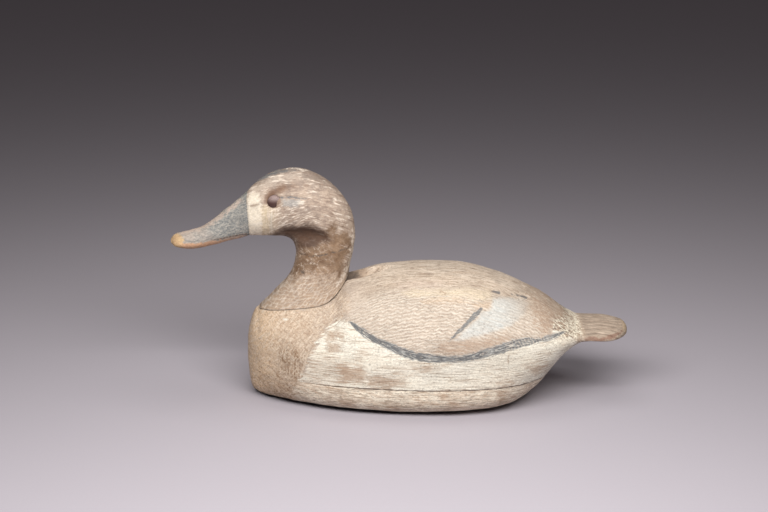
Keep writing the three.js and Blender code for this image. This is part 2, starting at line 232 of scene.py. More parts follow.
HEAD_LINES = {
    "bill_lower_edge": [(172, 243, 3), (186, 246.4, 2.6), (205, 245, 2.3), (226, 240.8, 2.1),
        (246, 236.6, 1.6)],
    "bill_worn_ridge": [(182, 232.5, 1.6), (196, 228.5, 2.6), (210, 222.4, 2.4), (226, 212, 1.8),
        (240, 200.5, 1.6)],
    "bill_mouth": [(212, 240, 0.3), (222, 238.4, 0.5), (234, 236, 0.5), (247, 233.6, 0.4)],
    "bill_dashes": [(183, 239.5, 0.9), (192, 241.5, 1.1), (199, 241, 0.6)],
    "smudge": [(251, 206, 0.8), (254, 205.4, 1.4), (258, 204.4, 0.8)],
    "face_strip": [(264.8, 207, 2.6), (265, 220, 2.8), (265.4, 233, 2.6)],
    "face_strokes": [(272, 206, 0.4), (271.6, 215, 1), (271, 225, 1.1), (271.6, 233, 0.6)],
    "brow": [(266, 202, 0.2), (268, 197.4, 1.5), (271.6, 193.8, 2.4), (277, 190.4, 2.3), (284, 187.8, 1.7),
        (292, 186.2, 1.3), (302, 186, 0.4)],
    "eye_streak": [(279, 197.6, 0.7), (291, 197.2, 0.8), (306, 198.9, 0.5)],
    "crown_streaks": [(256, 182.2, 0.6), (263, 177.8, 1.3), (271, 174, 1.6), (280, 171.6, 1.1),
        (297, 169.6, 0.6)],
    "cheek_blotch": [(297, 215, 1.8), (303, 212.5, 3.6), (311, 208.5, 3.2), (321, 209.5, 1.8)],
    "cheek_spots": [(299, 203.6, 1.7), (302.5, 203, 1.3)],
    "neck_crack": [(300, 254.5, 0.5), (312, 256.4, 0.8), (322, 255.4, 0.8), (338, 251.4, 0.6),
        (352, 246.5, 0.4)],
    "neck_knot": [(301.4, 271.4, 1.1), (303, 272.8, 1.2)],
    "neck_rim_highlight": [(353, 230, 1), (354, 245, 1.8), (352, 256, 1.8), (348, 266, 1.2), (344.5, 274, 1.1),
        (340.5, 281, 1.1), (336, 287, 0.8)]}

HEAD_PATCHES = {
    "bill_tip": [(160, 228), (172, 232), (178, 233.4), (183, 240), (182, 252), (160, 252)],
    "face_white": [(246, 199), (248, 195), (254, 191.5), (259, 194), (260, 200), (261, 205), (261.5, 210),
        (261.8, 240), (249.6, 240), (248, 222)],
    "forehead": [(244, 202), (250, 191), (258, 184), (268, 178), (282, 173.5), (302, 172), (300, 179),
        (284, 180.5), (272, 184), (264, 191), (262, 198)],
    "grey_wash": [(281, 199), (297, 199), (303, 203), (298, 207), (284, 206)],
    "jaw_shade": [(272, 235), (282, 230), (291, 226.8), (302, 225.6), (314, 226.6), (325, 232), (329, 239),
        (318, 245), (306, 248), (299, 244), (290, 238)],
    "neck_brown": [(288, 262), (298, 244), (320, 238), (330, 228), (344, 233), (350, 243), (348, 262),
        (344, 268), (338, 282), (318, 281), (304, 278), (292, 282)]}

# The bill's rear edge, as rows of the picture and the edge's column in each, and the eye's middle.
BILL_BACK = [(184, 250.5), (192, 247), (199, 246), (210, 246.8), (222, 248), (236, 249.3)]
EYE_PLACE = (273.6, 201.3)

# The strokes over the crown bow about this column of the picture, by this much for a pixel away from it.
CROWN_MIDDLE = 290
CROWN_ARCH = 0.0035

# Where the head's paint changes over, in columns or rows of the same picture: none of it shows at the first
# and all of it at the second.
CROWN_FROM = (198, 178)
CHEEK_BELOW = (202, 210)
CHEEK_BEFORE = (322, 306)
FACE_BEFORE = (286, 270)
FACE_BELOW = (205, 211)
FACE_WHITE_FADE = (199, 189)
BROW_FADE = (312, 276)
NECK_LOW = (272, 292)
NECK_BARE = (342, 322)
BILL_WORN = (232, 192)
BILL_EDGE_FADE = (205, 240)

# Where the body's paint changes over, in the same way but in millimetres: along X, up Z, or down the skin
# from the crown of the back.
BACK_FADE = (30, 56)
CROWN_BRUSHED = (46, 20)
COMBED = (36, 58)
SHOULDER = (-16, -52)
NAPE_BROWN = (-22, -36)
NAPE_DEEP = (-33, -42)
NAPE_DEEP_Z = 114
BREAST_FRONT = (-104, -132)
BREAST_REAR = (-92, -62)
BREAST_LOW = (60, 16)
SEAM_SHOWS = (-84, -70)
LINE_WORN = (-30, 4)
HATCH_FROM = (96, 112)
HATCH_TO = (142, 132)
ROOT_BROWN = (150, 163)
REAR_SCORED = (104, 140)
SPECULUM_BRIGHT = (128, 88)
TAIL_PAINT = (TAIL_ROOT_X + 1, TAIL_ROOT_X + 6)
TAIL_BARE = (TAIL_TIP_X - 5, TAIL_TIP_X)
BROWNER_BELOW = (7, 3)

# Painted shade along the board's lower edge, for the shadow where it meets the floor: its height, and how
# much lower it lies at the rear.
EDGE_SHADE_HEIGHT = (5.8, 4)
EDGE_SHADE_REAR = (-70, 105)
EDGE_SHADE_LESS = 3

# The dust, and the painted sheen of the light from above, on the upper part of each eye.
EYE_DUST_AND_SHEEN_Z = (EYE["z"] - 1.5, EYE["z"] + 4.5)


def through(points):
    """A smooth curve through (x, y) points, with no overshoot, that takes an array of x."""
    px, py = np.array(points, float).T
    span = np.diff(px)
    steep = np.diff(py) / span
    before = np.append(steep[0], steep)
    after = np.append(steep, steep[-1])
    product = before * after
    total = np.where(product > 0, before + after, 1)
    lean = np.where(product > 0, 2 * product / total, 0)

    def curve(x):
        x = np.clip(x, px[0], px[-1])
        i = np.clip(np.searchsorted(px, x, side="right") - 1, 0, len(span) - 1)
        t = (x - px[i]) / span[i]
        eased = t * t * (3 - 2 * t)
        bend = t * (1 - t) * span[i] * ((1 - t) * lean[i] - t * lean[i + 1])
        return py[i] + (py[i + 1] - py[i]) * eased + bend

    return curve


back_at = through(BACK)
underside_at = through(UNDERSIDE)
beam_at = through(BEAM)
shoulders_at = through(SHOULDERS)
bilge_at = through(BILGE)
seat_at = through(SEAT)


def quarter(distance, length):
    """A quarter ellipse's height, 0 to 1, at a distance from its tip along its length."""
    u = 1 - np.clip(distance / length, 0, 1)
    return np.sqrt(1 - u * u)


def ease(value, low, high):
    """0 up to low, 1 from high on, and smooth between them."""
    t = np.clip((value - low) / (high - low), 0, 1)
    return t * t * (3 - 2 * t)


def foot_half_width(x):
    u = np.abs((2 * x - SEAT_FRONT - SEAT_REAR) / (SEAT_REAR - SEAT_FRONT))
    return FOOT_HALF_WIDTH * np.maximum(0, 1 - u ** FOOT_FULLNESS) ** (1 / FOOT_FULLNESS)


def hull_at(x):
    """The hull's half width, crown, bottom and the height of its widest line at each x."""
    front = HALF_WIDTH * quarter(x - BREAST_X, WIDEST_X - BREAST_X)
    rear = HALF_WIDTH * np.sqrt(np.maximum(0, 1 - ((x - WIDEST_X) / REAR_ELLIPSE) ** 2))
    tail = TAIL_HALF_WIDTH * quarter(TAIL_TIP_X - x, TAIL_TIP_X - TAIL_BEND_X)
    half = np.where(x < WIDEST_X, front, np.maximum(rear, tail))
    beam = beam_at(x)
    rise = quarter(x - BREAST_X, BREAST_ROUND_UP[0]) * BREAST_ROUND_UP[1]
    drop = quarter(x - BREAST_X, BREAST_ROUND_DOWN[0]) * BREAST_ROUND_DOWN[1]
    thin = quarter(TAIL_TIP_X - x, TAIL_HALF_WIDTH / 8)
    bottom = np.where(x < UNDERSIDE[0][0], BREAST_Z - drop, beam + (underside_at(x) - beam) * thin)
    power = shoulders_at(x)
    foot = np.clip(foot_half_width(x) / np.maximum(half, 1), 0, 0.99)
    share = (1 - foot ** power) ** (1 / power)
    top = beam + (back_at(x) - beam) * thin
    top = np.where(x < SEAT_REAR, beam + (seat_at(x) - beam) / share, top)
    top = np.where(x < SEAT_FRONT, BREAST_Z + rise, top)
    return half, top, bottom, np.clip(beam, bottom, top)


def signed_power(value, power):
    return np.sign(value) * np.abs(value) ** power


class Ripple:
    """A smooth random field: waves in many directions, each of about the length given for its axis."""

    def __init__(self, seed, lengths, waves=14, spread=(0.6, 1.4)):
        rng = np.random.default_rng(seed)
        way = rng.normal(size=(waves, 3))
        way /= np.linalg.norm(way, axis=1)[:, None]
        self.way = way * rng.uniform(*spread, (waves, 1)) * (2 * math.pi / np.array(lengths, float))
        self.start = rng.uniform(0, 2 * math.pi, waves)

    def __call__(self, points):
        total = np.zeros(len(points))
        for way, start in zip(self.way, self.start):
            total += np.cos(points @ way + start)
        return total / math.sqrt(len(self.start) / 2)


def picture_place(points):
    """Where points fall in the camera's picture, in pixels. The right side is mirrored on to the left."""
    cos, sin = math.cos(ELEVATION), math.sin(ELEVATION)
    x = points[:, 0] - AIM[0]
    y = -np.abs(points[:, 1]) + DISTANCE * cos
    z = points[:, 2] - AIM[2] - DISTANCE * sin
    depth = y * cos - z * sin
    return FRAME_WIDTH / 2 + FOCAL * x / depth, FRAME_HEIGHT / 2 - FOCAL * (y * sin + z * cos) / depth


def line_field(place, line):
    """Distance from a drawn line's edge in pixels, under 0 on the line."""
    px, py = place
    nearest = np.full(len(px), np.inf)
    for (x0, y0, w0), (x1, y1, w1) in zip(line, line[1:]):
        along = ((px - x0) * (x1 - x0) + (py - y0) * (y1 - y0)) / ((x1 - x0) ** 2 + (y1 - y0) ** 2)
        t = np.clip(along, 0, 1)
        away = np.hypot(px - x0 - t * (x1 - x0), py - y0 - t * (y1 - y0))
        nearest = np.minimum(nearest, away - w0 - t * (w1 - w0))
    return nearest


def patch_field(place, patch):
    """Distance from a closed outline in pixels, under 0 inside it."""
    px, py = place
    inside = np.zeros(len(px), bool)
    closed = list(patch) + [patch[0]]
    for (x0, y0), (x1, y1) in zip(closed, closed[1:]):
        if y0 != y1:
            crossing = x0 + (py - y0) / (y1 - y0) * (x1 - x0)
            inside ^= ((y0 > py) != (y1 > py)) & (px < crossing)
    away = line_field(place, [(x, y, 0) for x, y in closed])
    return np.where(inside, -away, away)


def nearest_field(place, shapes, field=patch_field):
    return np.min([field(place, shape) for shape in shapes], axis=0)


def sheet(rows, columns):
    """A flat grid whose points come in order: row by row."""
    bm = bmesh.new()
    bmesh.ops.create_grid(bm, x_segments=columns - 1, y_segments=rows - 1, size=1)
    bm.verts.ensure_lookup_table()
    order = sorted(bm.verts, key=lambda v: (round(v.co.y, 6), v.co.x))
    for i, v in enumerate(order):
        v.index = i
    bm.verts.sort()
    return bm


def finish_mesh(name, bm):
    mesh = bpy.data.meshes.new(name)
    bm.to_mesh(mesh)
    bm.free()
    obj = bpy.data.objects.new(name, mesh)
    bpy.context.collection.objects.link(obj)
    return obj


def tube(name, rings):
    """A closed skin over rings of points, rolled from a sheet, with its two ends drawn to a point."""
    rows, columns, _ = rings.shape
    rolled = np.concatenate([rings, rings[:, :1]], axis=1).reshape(-1, 3) * MM
    bm = sheet(rows, columns + 1)
    for v, place in zip(bm.verts, rolled):
        v.co = place
    bmesh.ops.remove_doubles(bm, verts=bm.verts, dist=WELD)
    ends = [e for e in bm.edges if e.is_boundary]
    bmesh.ops.holes_fill(bm, edges=ends, sides=0)
    caps = [f for f in bm.faces if len(f.verts) > 4]
    bmesh.ops.poke(bm, faces=caps)
    bmesh.ops.recalc_face_normals(bm, faces=bm.faces)
    return finish_mesh(name, bm)


def get_points(obj):
    co = np.empty(len(obj.data.vertices) * 3)
    obj.data.vertices.foreach_get("co", co)
    return co.reshape(-1, 3) / MM


def get_normals(obj):
    normals = np.empty(len(obj.data.vertices) * 3)
    obj.data.vertex_normals.foreach_get("vector", normals)
    return normals.reshape(-1, 3)


def set_points(obj, points):
    obj.data.vertices.foreach_set("co", (points * MM).ravel())
    obj.data.update()


def set_field(obj, name, values):
    """Keeps a number for every point of the mesh, for the finish to read."""
    layer = obj.data.attributes.new(name, "FLOAT", "POINT")
    layer.data.foreach_set("value", np.asarray(values, np.float32))


def cut(obj, cutter, operation):
    """Cuts obj with another closed piece, which is used up."""
    modifier = obj.modifiers.new("cut", "BOOLEAN")
    modifier.object = cutter
    modifier.operation = operation
    modifier.solver = "EXACT"
    graph = bpy.context.evaluated_depsgraph_get()
    mesh = bpy.data.meshes.new_from_object(obj.evaluated_get(graph))
    obj.modifiers.clear()
    old = obj.data
    obj.data = mesh
    mesh.name = obj.name
    bpy.data.meshes.remove(old)
    bpy.data.objects.remove(cutter)


def slab_cut(obj, height, keep_above):
    """Keeps the part of obj above or below a height, closed with a flat face."""
    bm = bmesh.new()
    bm.from_mesh(obj.data)
    geometry = list(bm.verts) + list(bm.edges) + list(bm.faces)
    result = bmesh.ops.bisect_plane(
        bm, geom=geometry, dist=WELD, plane_co=(0, 0, height * MM), plane_no=(0, 0, 1),
        clear_inner=keep_above, clear_outer=not keep_above)
    edges = [g for g in result["geom_cut"] if isinstance(g, bmesh.types.BMEdge)]
    bmesh.ops.holes_fill(bm, edges=edges, sides=0)
    bm.to_mesh(obj.data)
    bm.free()


def above_seat(lift_at):
    """Everything above the neck seam, with its lower edge lifted by a distance that depends on x."""
    xs = np.linspace(SEAT_FRONT, SEAT_REAR, SEAT_POINTS)
    line = [(-CLEAR, 0)] + list(zip(xs, seat_at(xs) + lift_at(xs)))
    line += [(SEAT_REAR + NAPE_RUN[0], seat_at(SEAT_REAR) + NAPE_RUN[1]), (0, CLEAR), (-CLEAR, CLEAR)]
    bm = bmesh.new()
    corners = [bm.verts.new((x * MM, -CLEAR_SIDE * MM, z * MM)) for x, z in line]
    face = bm.faces.new(corners)
    grown = bmesh.ops.extrude_face_region(bm, geom=[face])["geom"]
    moved = [g for g in grown if isinstance(g, bmesh.types.BMVert)]
    bmesh.ops.translate(bm, verts=moved, vec=(0, 2 * CLEAR_SIDE * MM, 0))
    bmesh.ops.recalc_face_normals(bm, faces=bm.faces)
    return finish_mesh("seat_cutter", bm)


def foot_gap(x):
    """How far the neck's foot stands off its seat, which is further where the joint has opened."""
    return HALF_GAP + CRACK["width"] * np.exp(-((x - CRACK["x"]) / CRACK["length"]) ** 2)


def even_girth(y, z, count):
    """Rings of y and z shared out again into count points, evenly along each ring."""
    y = np.concatenate([y, y[:, :1]], axis=1)
    z = np.concatenate([z, z[:, :1]], axis=1)
    run = np.cumsum(np.hypot(np.diff(y), np.diff(z)), axis=1)
    run = np.concatenate([np.zeros((len(y), 1)), run], axis=1)
    share = np.arange(count) / count
    new_y = np.array([np.interp(share * r[-1], r, line) for r, line in zip(run, y)])
    new_z = np.array([np.interp(share * r[-1], r, line) for r, line in zip(run, z)])
    return new_y, new_z


def hull_rings():
    """The body's rings from breast to tail: close together over the nose and at the tail's tip."""
    quarter_turn = math.pi / 2
    nose = np.arange(1, NOSE_RINGS + 1) / NOSE_RINGS * quarter_turn
    middle = TAIL_BEND_X - BREAST_X - NOSE_LENGTH
    steps = int(round(middle / RING_SPACING))
    tail = (np.arange(1, TAIL_RINGS + 1) - TIP_SHORT) / TAIL_RINGS * quarter_turn
    places = np.concatenate([
        BREAST_X + NOSE_LENGTH * (1 - np.cos(nose)),
        BREAST_X + NOSE_LENGTH + np.arange(1, steps + 1) * middle / steps,
        TAIL_BEND_X + (TAIL_TIP_X - TAIL_BEND_X) * np.sin(tail)])
    x = places[:, None]
    half, top, bottom, beam = hull_at(x)
    angle = 2 * math.pi * np.arange(HULL_TRIAL_POINTS)[None, :] / HULL_TRIAL_POINTS
    c, s = np.cos(angle), np.sin(angle)
    power = 2 / np.where(s > 0, shoulders_at(x), bilge_at(x))
    y = half * signed_power(c, power)
    z = beam + np.where(s > 0, top - beam, bottom - beam) * np.abs(s) ** power
    y, z = even_girth(y, z, HULL_POINTS)
    return np.stack([np.broadcast_to(x, y.shape), y, z], axis=-1)


def smooth_path(points, count):
    """A smooth path through points, evenly shared between them, as the solids have it."""
    p = np.array(points, float)
    p = np.vstack([2 * p[0] - p[1], p, 2 * p[-1] - p[-2]])
    u = np.linspace(0, len(points) - 1, count)
    i = np.minimum(u.astype(int), len(points) - 2)
    t = (u - i)[:, None]
    p0, p1, p2, p3 = (p[i + k] for k in range(4))
    d0, d1, d2 = (np.maximum(np.linalg.norm(b - a, axis=1), SHORTEST_STEP)[:, None] ** 0.5
                  for a, b in ((p0, p1), (p1, p2), (p2, p3)))
    m1 = ((p1 - p0) / d0 - (p2 - p0) / (d0 + d1) + (p2 - p1) / d1) * d1
    m2 = ((p2 - p1) / d1 - (p3 - p1) / (d1 + d2) + (p3 - p2) / d2) * d1
    t2, t3 = t * t, t * t * t
    return (2 * t3 - 3 * t2 + 1) * p1 + (t3 - 2 * t2 + t) * m1 + (3 * t2 - 2 * t3) * p2 + (t3 - t2) * m2


def bump(x, z, form):
    return np.exp(-((x - form["x"]) / form["length"]) ** 2 - ((z - form["z"]) / form["height"]) ** 2)


def head_rings():
    """The head's rings from the bill's tip round to the neck, then its flare down to the foot and root."""
    outer = smooth_path([station[0] for station in HEAD], HEAD_RINGS)
    inner = smooth_path([station[1] for station in HEAD], HEAD_RINGS)
    u = np.linspace(0, len(HEAD) - 1, HEAD_RINGS)
    half = through([(i, station[2]) for i, station in enumerate(HEAD)])(u)[:, None]
    taper = RIDGE["taper"] * (1 - ease(u, RIDGE["from"], RIDGE["to"]))[:, None]
    middle = ((outer + inner) / 2)[:, None, :]
    arm = ((outer - inner) / 2)[:, None, :]
    angle = 2 * math.pi * np.arange(HEAD_POINTS)[None, :] / HEAD_POINTS
    along = signed_power(np.cos(angle), 2 / HEAD_ROUNDNESS)
    across = signed_power(np.sin(angle), 2 / HEAD_ROUNDNESS)
    flat = middle + arm * along[..., None]
    x, z = flat[..., 0], flat[..., 1]
    form = 1 + CHEEK["swell"] * bump(x, z, CHEEK) - JAW["hollow"] * bump(x, z, JAW)
    y = -half * across * form * (1 - taper * along)
    rings = np.stack([x, y, z], axis=-1)
    foot_x = (SEAT_FRONT + SEAT_REAR) / 2 + (SEAT_REAR - SEAT_FRONT) / 2 * np.cos(angle[0])
    foot = np.stack([foot_x, -np.sign(np.sin(angle[0])) * foot_half_width(foot_x), seat_at(foot_x)], axis=-1)
    neck = rings[-1]
    flare = []
    for t in np.arange(1, FLARE_RINGS + 1) / FLARE_RINGS:
        ring = neck + (foot - neck) * t
        ring[:, 1] = neck[:, 1] + (foot[:, 1] - neck[:, 1]) * t ** FLARE_LATENESS
        flare.append(ring)
    root = foot + np.array(NECK_ROOT)
    return np.concatenate([rings, np.array(flare), root[None]])


def groove_field(points):
    """Distance across the tail from the nearest knife groove, in millimetres."""
    x, y, _ = points.T
    sway = GROOVE_SWAY["slow"] * np.sin(x / GROOVE_SWAY["slow_length"])
    sway += GROOVE_SWAY["quick"] * np.sin(x / GROOVE_SWAY["quick_length"] + y / GROOVE_SWAY["quick_across"])
    return np.min([np.abs(y - place - sway) for place in TAIL_GROOVES], axis=0)


def nape_room(points):
    """1 in the middle of the hollow behind the neck, seen from above, and 0 at its rim."""
    x, y, _ = points.T
    return 1 - ((x - NAPE_GROOVE["x"]) / NAPE_GROOVE["length"]) ** 2 - (y / NAPE_GROOVE["half_width"]) ** 2


def knife_ripple(points, ripples):
    return sum(depth * Ripple(seed, lengths)(points) for depth, seed, lengths in ripples)


def groove(distance, form):
    """A groove's depth at a distance from its line."""
    return form["depth"] * np.exp(-(distance / form["width"]) ** 2)


def hollow(distance, form):
    """A hollow's depth, full inside and fading out over its edge."""
    return form["depth"] * (1 - ease(distance, form["from"], form["to"]))


def carve_hull(obj):
    """The knife's ripple over the body, the grooves along the tail and the hollow worn behind the neck."""
    points, normals = get_points(obj), get_normals(obj)
    x = points[:, 0]
    on_tail = ease(x, *GROOVE["start"]) * (1 - ease(x, *GROOVE["end"]))
    on_tail *= ease(normals[:, 2], *GROOVE["facing_up"])
    out = knife_ripple(points, BODY_RIPPLES) - on_tail * groove(groove_field(points), GROOVE)
    points = points + normals * out[:, None]
    z = points[:, 2]
    room = nape_room(points)
    floor_z = NAPE_GROOVE["z"] - NAPE_GROOVE["depth"] * np.sqrt(np.maximum(room, 0))
    points[:, 2] = np.where((room > 0) & (z > floor_z) & (z > BREAST_Z * 2), floor_z, z)
    set_points(obj, points)


def carve_head(obj):
    """The brow, the eye's hollow, the scoop under the jaw, the bill's edge and the neck's crack."""
    points, normals = get_points(obj), get_normals(obj)
    place = picture_place(points)
    side = ease(np.abs(points[:, 1]), *SIDE_FROM_RIDGE)
    out = knife_ripple(points, HEAD_RIPPLES)
    out -= side * hollow(line_field(place, HEAD_LINES["brow"]), BROW_HOLLOW)
    out -= side * groove(eye_field(place) - EYE_HOLLOW["radius"], EYE_HOLLOW)
    out -= side * groove(np.maximum(line_field(place, HEAD_LINES["eye_streak"]), 0), STREAK_GROOVE)
    out -= side * hollow(patch_field(place, HEAD_PATCHES["jaw_shade"]), JAW_HOLLOW)
    behind_bill = bill_field(place)
    out -= groove(behind_bill, BILL_GROOVE) + hollow(behind_bill, BILL_STEP)
    left = (points[:, 1] < 0) * (normals[:, 1] < 0)
    broken = ease(Ripple(BREAKS_SEED, (BREAKS_LENGTH,) * 3)(points), *CRACK_BREAKS)
    out -= left * broken * groove(np.maximum(line_field(place, HEAD_LINES["neck_crack"]), 0), CRACK_GROOVE)
    out -= left * hollow(line_field(place, HEAD_LINES["neck_knot"]), KNOT_HOLLOW)
    set_points(obj, points + normals * out[:, None])


def bill_field(place):
    """Distance behind the bill's rear edge in pixels, under 0 on the bill."""
    rows, columns = zip(*BILL_BACK)
    return place[0] - np.interp(place[1], rows, columns)


def eye_field(place):
    """Distance from the eye's middle in pixels."""
    return np.hypot(place[0] - EYE_PLACE[0], place[1] - EYE_PLACE[1])


def girth_of(points):
    """Distance down the skin from the crown of the back, in millimetres."""
    x, y, z = points.T
    half, top, _, beam = hull_at(x)
    half = np.maximum(half, TINY)
    power = shoulders_at(x)
    rise = np.maximum(top - beam, 1)
    up = np.clip((z - beam) / rise, 0, 1) ** (power / 2)
    out = np.clip(np.abs(y) / half, 0, 1) ** (power / 2)
    turn = math.pi / 2 - np.arctan2(up, out)
    length = np.zeros(len(x))
    last_y, last_z = np.zeros(len(x)), rise
    for i in range(1, GIRTH_STEPS + 1):
        new_y = half * np.sin(turn * i / GIRTH_STEPS) ** (2 / power)
        new_z = rise * np.cos(turn * i / GIRTH_STEPS) ** (2 / power)
        length += np.hypot(new_y - last_y, new_z - last_z)
        last_y, last_z = new_y, new_z
    return length + np.maximum(beam - z, 0)


def draw(obj, place, lines, patches):
    """Keeps the distance from each drawn line and patch."""
    for name, line in lines.items():
        set_field(obj, name, line_field(place, line))
    for name, patch in patches.items():
        set_field(obj, name, patch_field(place, patch))


def mark_body(obj):
    points = get_points(obj)
    place = picture_place(points)
    draw(obj, place, BODY_LINES, BODY_PATCHES)
    set_field(obj, "orange", nearest_field(place, ORANGE_PATCHES))
    set_field(obj, "worn_spots", nearest_field(place, WORN_SPOTS))
    set_field(obj, "pale_nicks", nearest_field(place, PALE_NICKS, line_field))
    set_field(obj, "dark_nicks", nearest_field(place, DARK_NICKS, line_field))
    set_field(obj, "nape_hollow", np.where(points[:, 2] > SEAT[0][1], nape_room(points), -1))
    set_field(obj, "girth", girth_of(points))
    set_field(obj, "tail_groove", groove_field(points))


def mark_head(obj):
    points = get_points(obj)
    place = picture_place(points)
    draw(obj, place, HEAD_LINES, HEAD_PATCHES)
    set_field(obj, "behind_bill", bill_field(place))
    set_field(obj, "picture_x", place[0])
    set_field(obj, "picture_y", place[1])
    set_field(obj, "above_seam", points[:, 2] - seat_at(points[:, 0]))
    set_field(obj, "around_eye", eye_field(place))


# A Mix node's colour sockets: the two that it takes and the one that it gives.
MIX_UNDER = 6
MIX_OVER = 7
MIX_RESULT = 2

# Noise lies mostly about its middle, so this part of its range is spread over 0 to 1.
NOISE_RANGE = (0.3, 0.7)
NOISE_ROUGHNESS = 0.6

# Crack lines wander by up to this part of a cell, in waves this many times finer than a cell.
CRACK_SWAY = 0.7
CRACK_SWAY_SCALE = 1.7


class Wire:
    """A value in a finish. A sum on it adds a Math node."""

    def __init__(self, finish, socket):
        self.finish = finish
        self.socket = socket

    def sum(self, operation, first, second):
        return self.finish.node("ShaderNodeMath", {"operation": operation}, {0: first, 1: second})

    def __add__(self, other):
        return self.sum("ADD", self, other)

    def __radd__(self, other):
        return self.sum("ADD", other, self)

    def __sub__(self, other):
        return self.sum("SUBTRACT", self, other)

    def __rsub__(self, other):
        return self.sum("SUBTRACT", other, self)

    def __mul__(self, other):
        return self.sum("MULTIPLY", self, other)

    def __rmul__(self, other):
        return self.sum("MULTIPLY", other, self)

    def __truediv__(self, other):
        return self.sum("DIVIDE", self, other)


class Finish:
    """A finish of the bird: its nodes, and the patterns and paints that it is mixed from."""

    def __init__(self, name):
        self.material = bpy.data.materials.new(name)
        self.material.use_nodes = True
        self.tree = self.material.node_tree
        self.shader = self.tree.nodes["Principled BSDF"]
        place = self.node("ShaderNodeTexCoord", {}, {}, "Object")
        self.place = self.node("ShaderNodeVectorMath", {"operation": "SCALE"}, {0: place, "Scale": 1 / MM})

    def node(self, kind, settings, sockets, output=0):
        """Adds a node: its settings first, then the values or links of its sockets."""
        node = self.tree.nodes.new(kind)
        for key, value in settings.items():
            setattr(node, key, value)
        for key, value in sockets.items():
            self.put(node.inputs[key], value)
        return Wire(self, node.outputs[output])

    def put(self, socket, value):
        if isinstance(value, Wire):
            self.tree.links.new(value.socket, socket)
        elif isinstance(value, tuple) and socket.type == "RGBA":
            socket.default_value = (*value, 1)
        else:
            socket.default_value = value

    def blend(self, amount, under, over):
        """One colour laid over another."""
        sockets = {0: amount, MIX_UNDER: under, MIX_OVER: over}
        return self.node("ShaderNodeMix", {"data_type": "RGBA"}, sockets, MIX_RESULT)

    def shade(self, colour, amount):
        """A colour made darker or lighter by a value about 1."""
        return self.node("ShaderNodeVectorMath", {"operation": "SCALE"}, {0: colour, "Scale": amount})

    def step(self, value, low, high):
        """0 below low, 1 above high and smooth between; the other way round where low is above high."""
        return self.node("ShaderNodeMapRange", {"interpolation_type": "SMOOTHSTEP"},
                         {"Value": value, "From Min": low, "From Max": high})

    def sine(self, value, pitch):
        """A wave from -1 to 1 that repeats every pitch."""
        return self.node("ShaderNodeMath", {"operation": "SINE"}, {0: value * (2 * math.pi / pitch)})

    def axis(self, name):
        return self.node("ShaderNodeSeparateXYZ", {}, {0: self.place}, name)

    def field(self, name):
        return self.node("ShaderNodeAttribute", {"attribute_name": name}, {}, "Fac")

    def turned(self, degrees):
        """The place turned about Y, so that a stretched pattern slants on the bird's side."""
        turn = (0, math.radians(degrees), 0)
        return self.node("ShaderNodeMapping", {}, {"Vector": self.place, "Rotation": turn})

    def spread(self, size, stretch, shift, place):
        scale = tuple(1 / (size * s) for s in stretch)
        return self.node("ShaderNodeVectorMath", {"operation": "MULTIPLY_ADD"},
                         {0: place or self.place, 1: scale, 2: (shift, shift, shift)})

    def clouds(self, where, detail):
        """Random patches about 1 across, from 0 to 1."""
        raw = self.node("ShaderNodeTexNoise", {},
                        {"Vector": where, "Scale": 1, "Detail": detail, "Roughness": NOISE_ROUGHNESS})
        return self.step(raw, *NOISE_RANGE)

    def noise(self, size, stretch=(1, 1, 1), shift=0.0, detail=3, place=None):
        """Random patches of a size in millimetres, 0 to 1, drawn out by stretch along each axis. A pattern's
        shift keeps it apart from the others."""
        return self.clouds(self.spread(size, stretch, shift, place), detail)

    def fine_grain(self):
        """The fine speckle that all the painted wood shares."""
        return self.noise(1.2, (1.6, 1, 1), shift=2)

    def flow(self, along, across, lengths, shift=0.0, detail=3):
        """Random strokes that follow two values over the surface, as long and as wide as given."""
        where = self.node("ShaderNodeCombineXYZ", {},
                          {0: along / lengths[0], 1: across / lengths[1], 2: shift})
        return self.clouds(where, detail)

    def cracks(self, size, stretch=(1, 1, 1), shift=0.0, width=0.06, place=None):
        """Crack lines between cells of a size in millimetres: 1 on a line."""
        where = self.spread(size, stretch, shift, place)
        sway = self.node("ShaderNodeTexNoise", {},
                         {"Vector": where, "Scale": CRACK_SWAY_SCALE, "Detail": 2}, "Color")
        where = self.node("ShaderNodeVectorMath", {"operation": "MULTIPLY_ADD"},
                          {0: sway, 1: (CRACK_SWAY,) * 3, 2: where})
        edge = self.node("ShaderNodeTexVoronoi", {"feature": "DISTANCE_TO_EDGE"},
                         {"Vector": where, "Scale": 1})
        return self.step(edge, width, 0)

    def inside(self, name, ragged=None, reach=0.0, soft=0.7):
        """1 inside a drawn line or patch and 0 outside it, with its edge moved about by a ragged pattern."""
        field = self.field(name)
        if ragged is not None:
            field = field + (ragged - 0.5) * reach
        return self.step(field, soft, -soft)

    def mark(self, under, over, name, ragged, reach, soft, amount=1):
        """One colour laid over another inside a drawn line or patch."""
        return self.blend(self.inside(name, ragged, reach=reach, soft=soft) * amount, under, over)

    def done(self, colour, roughness, height, depth):
        """Feeds the shader, with the relief given as a height of up to 1 and its depth in millimetres."""
        self.put(self.shader.inputs["Base Color"], colour)
        self.put(self.shader.inputs["Roughness"], roughness)
        relief = self.node("ShaderNodeBump", {}, {"Strength": 1.0, "Distance": depth * MM, "Height": height})
        self.put(self.shader.inputs["Normal"], relief)
        return self.material
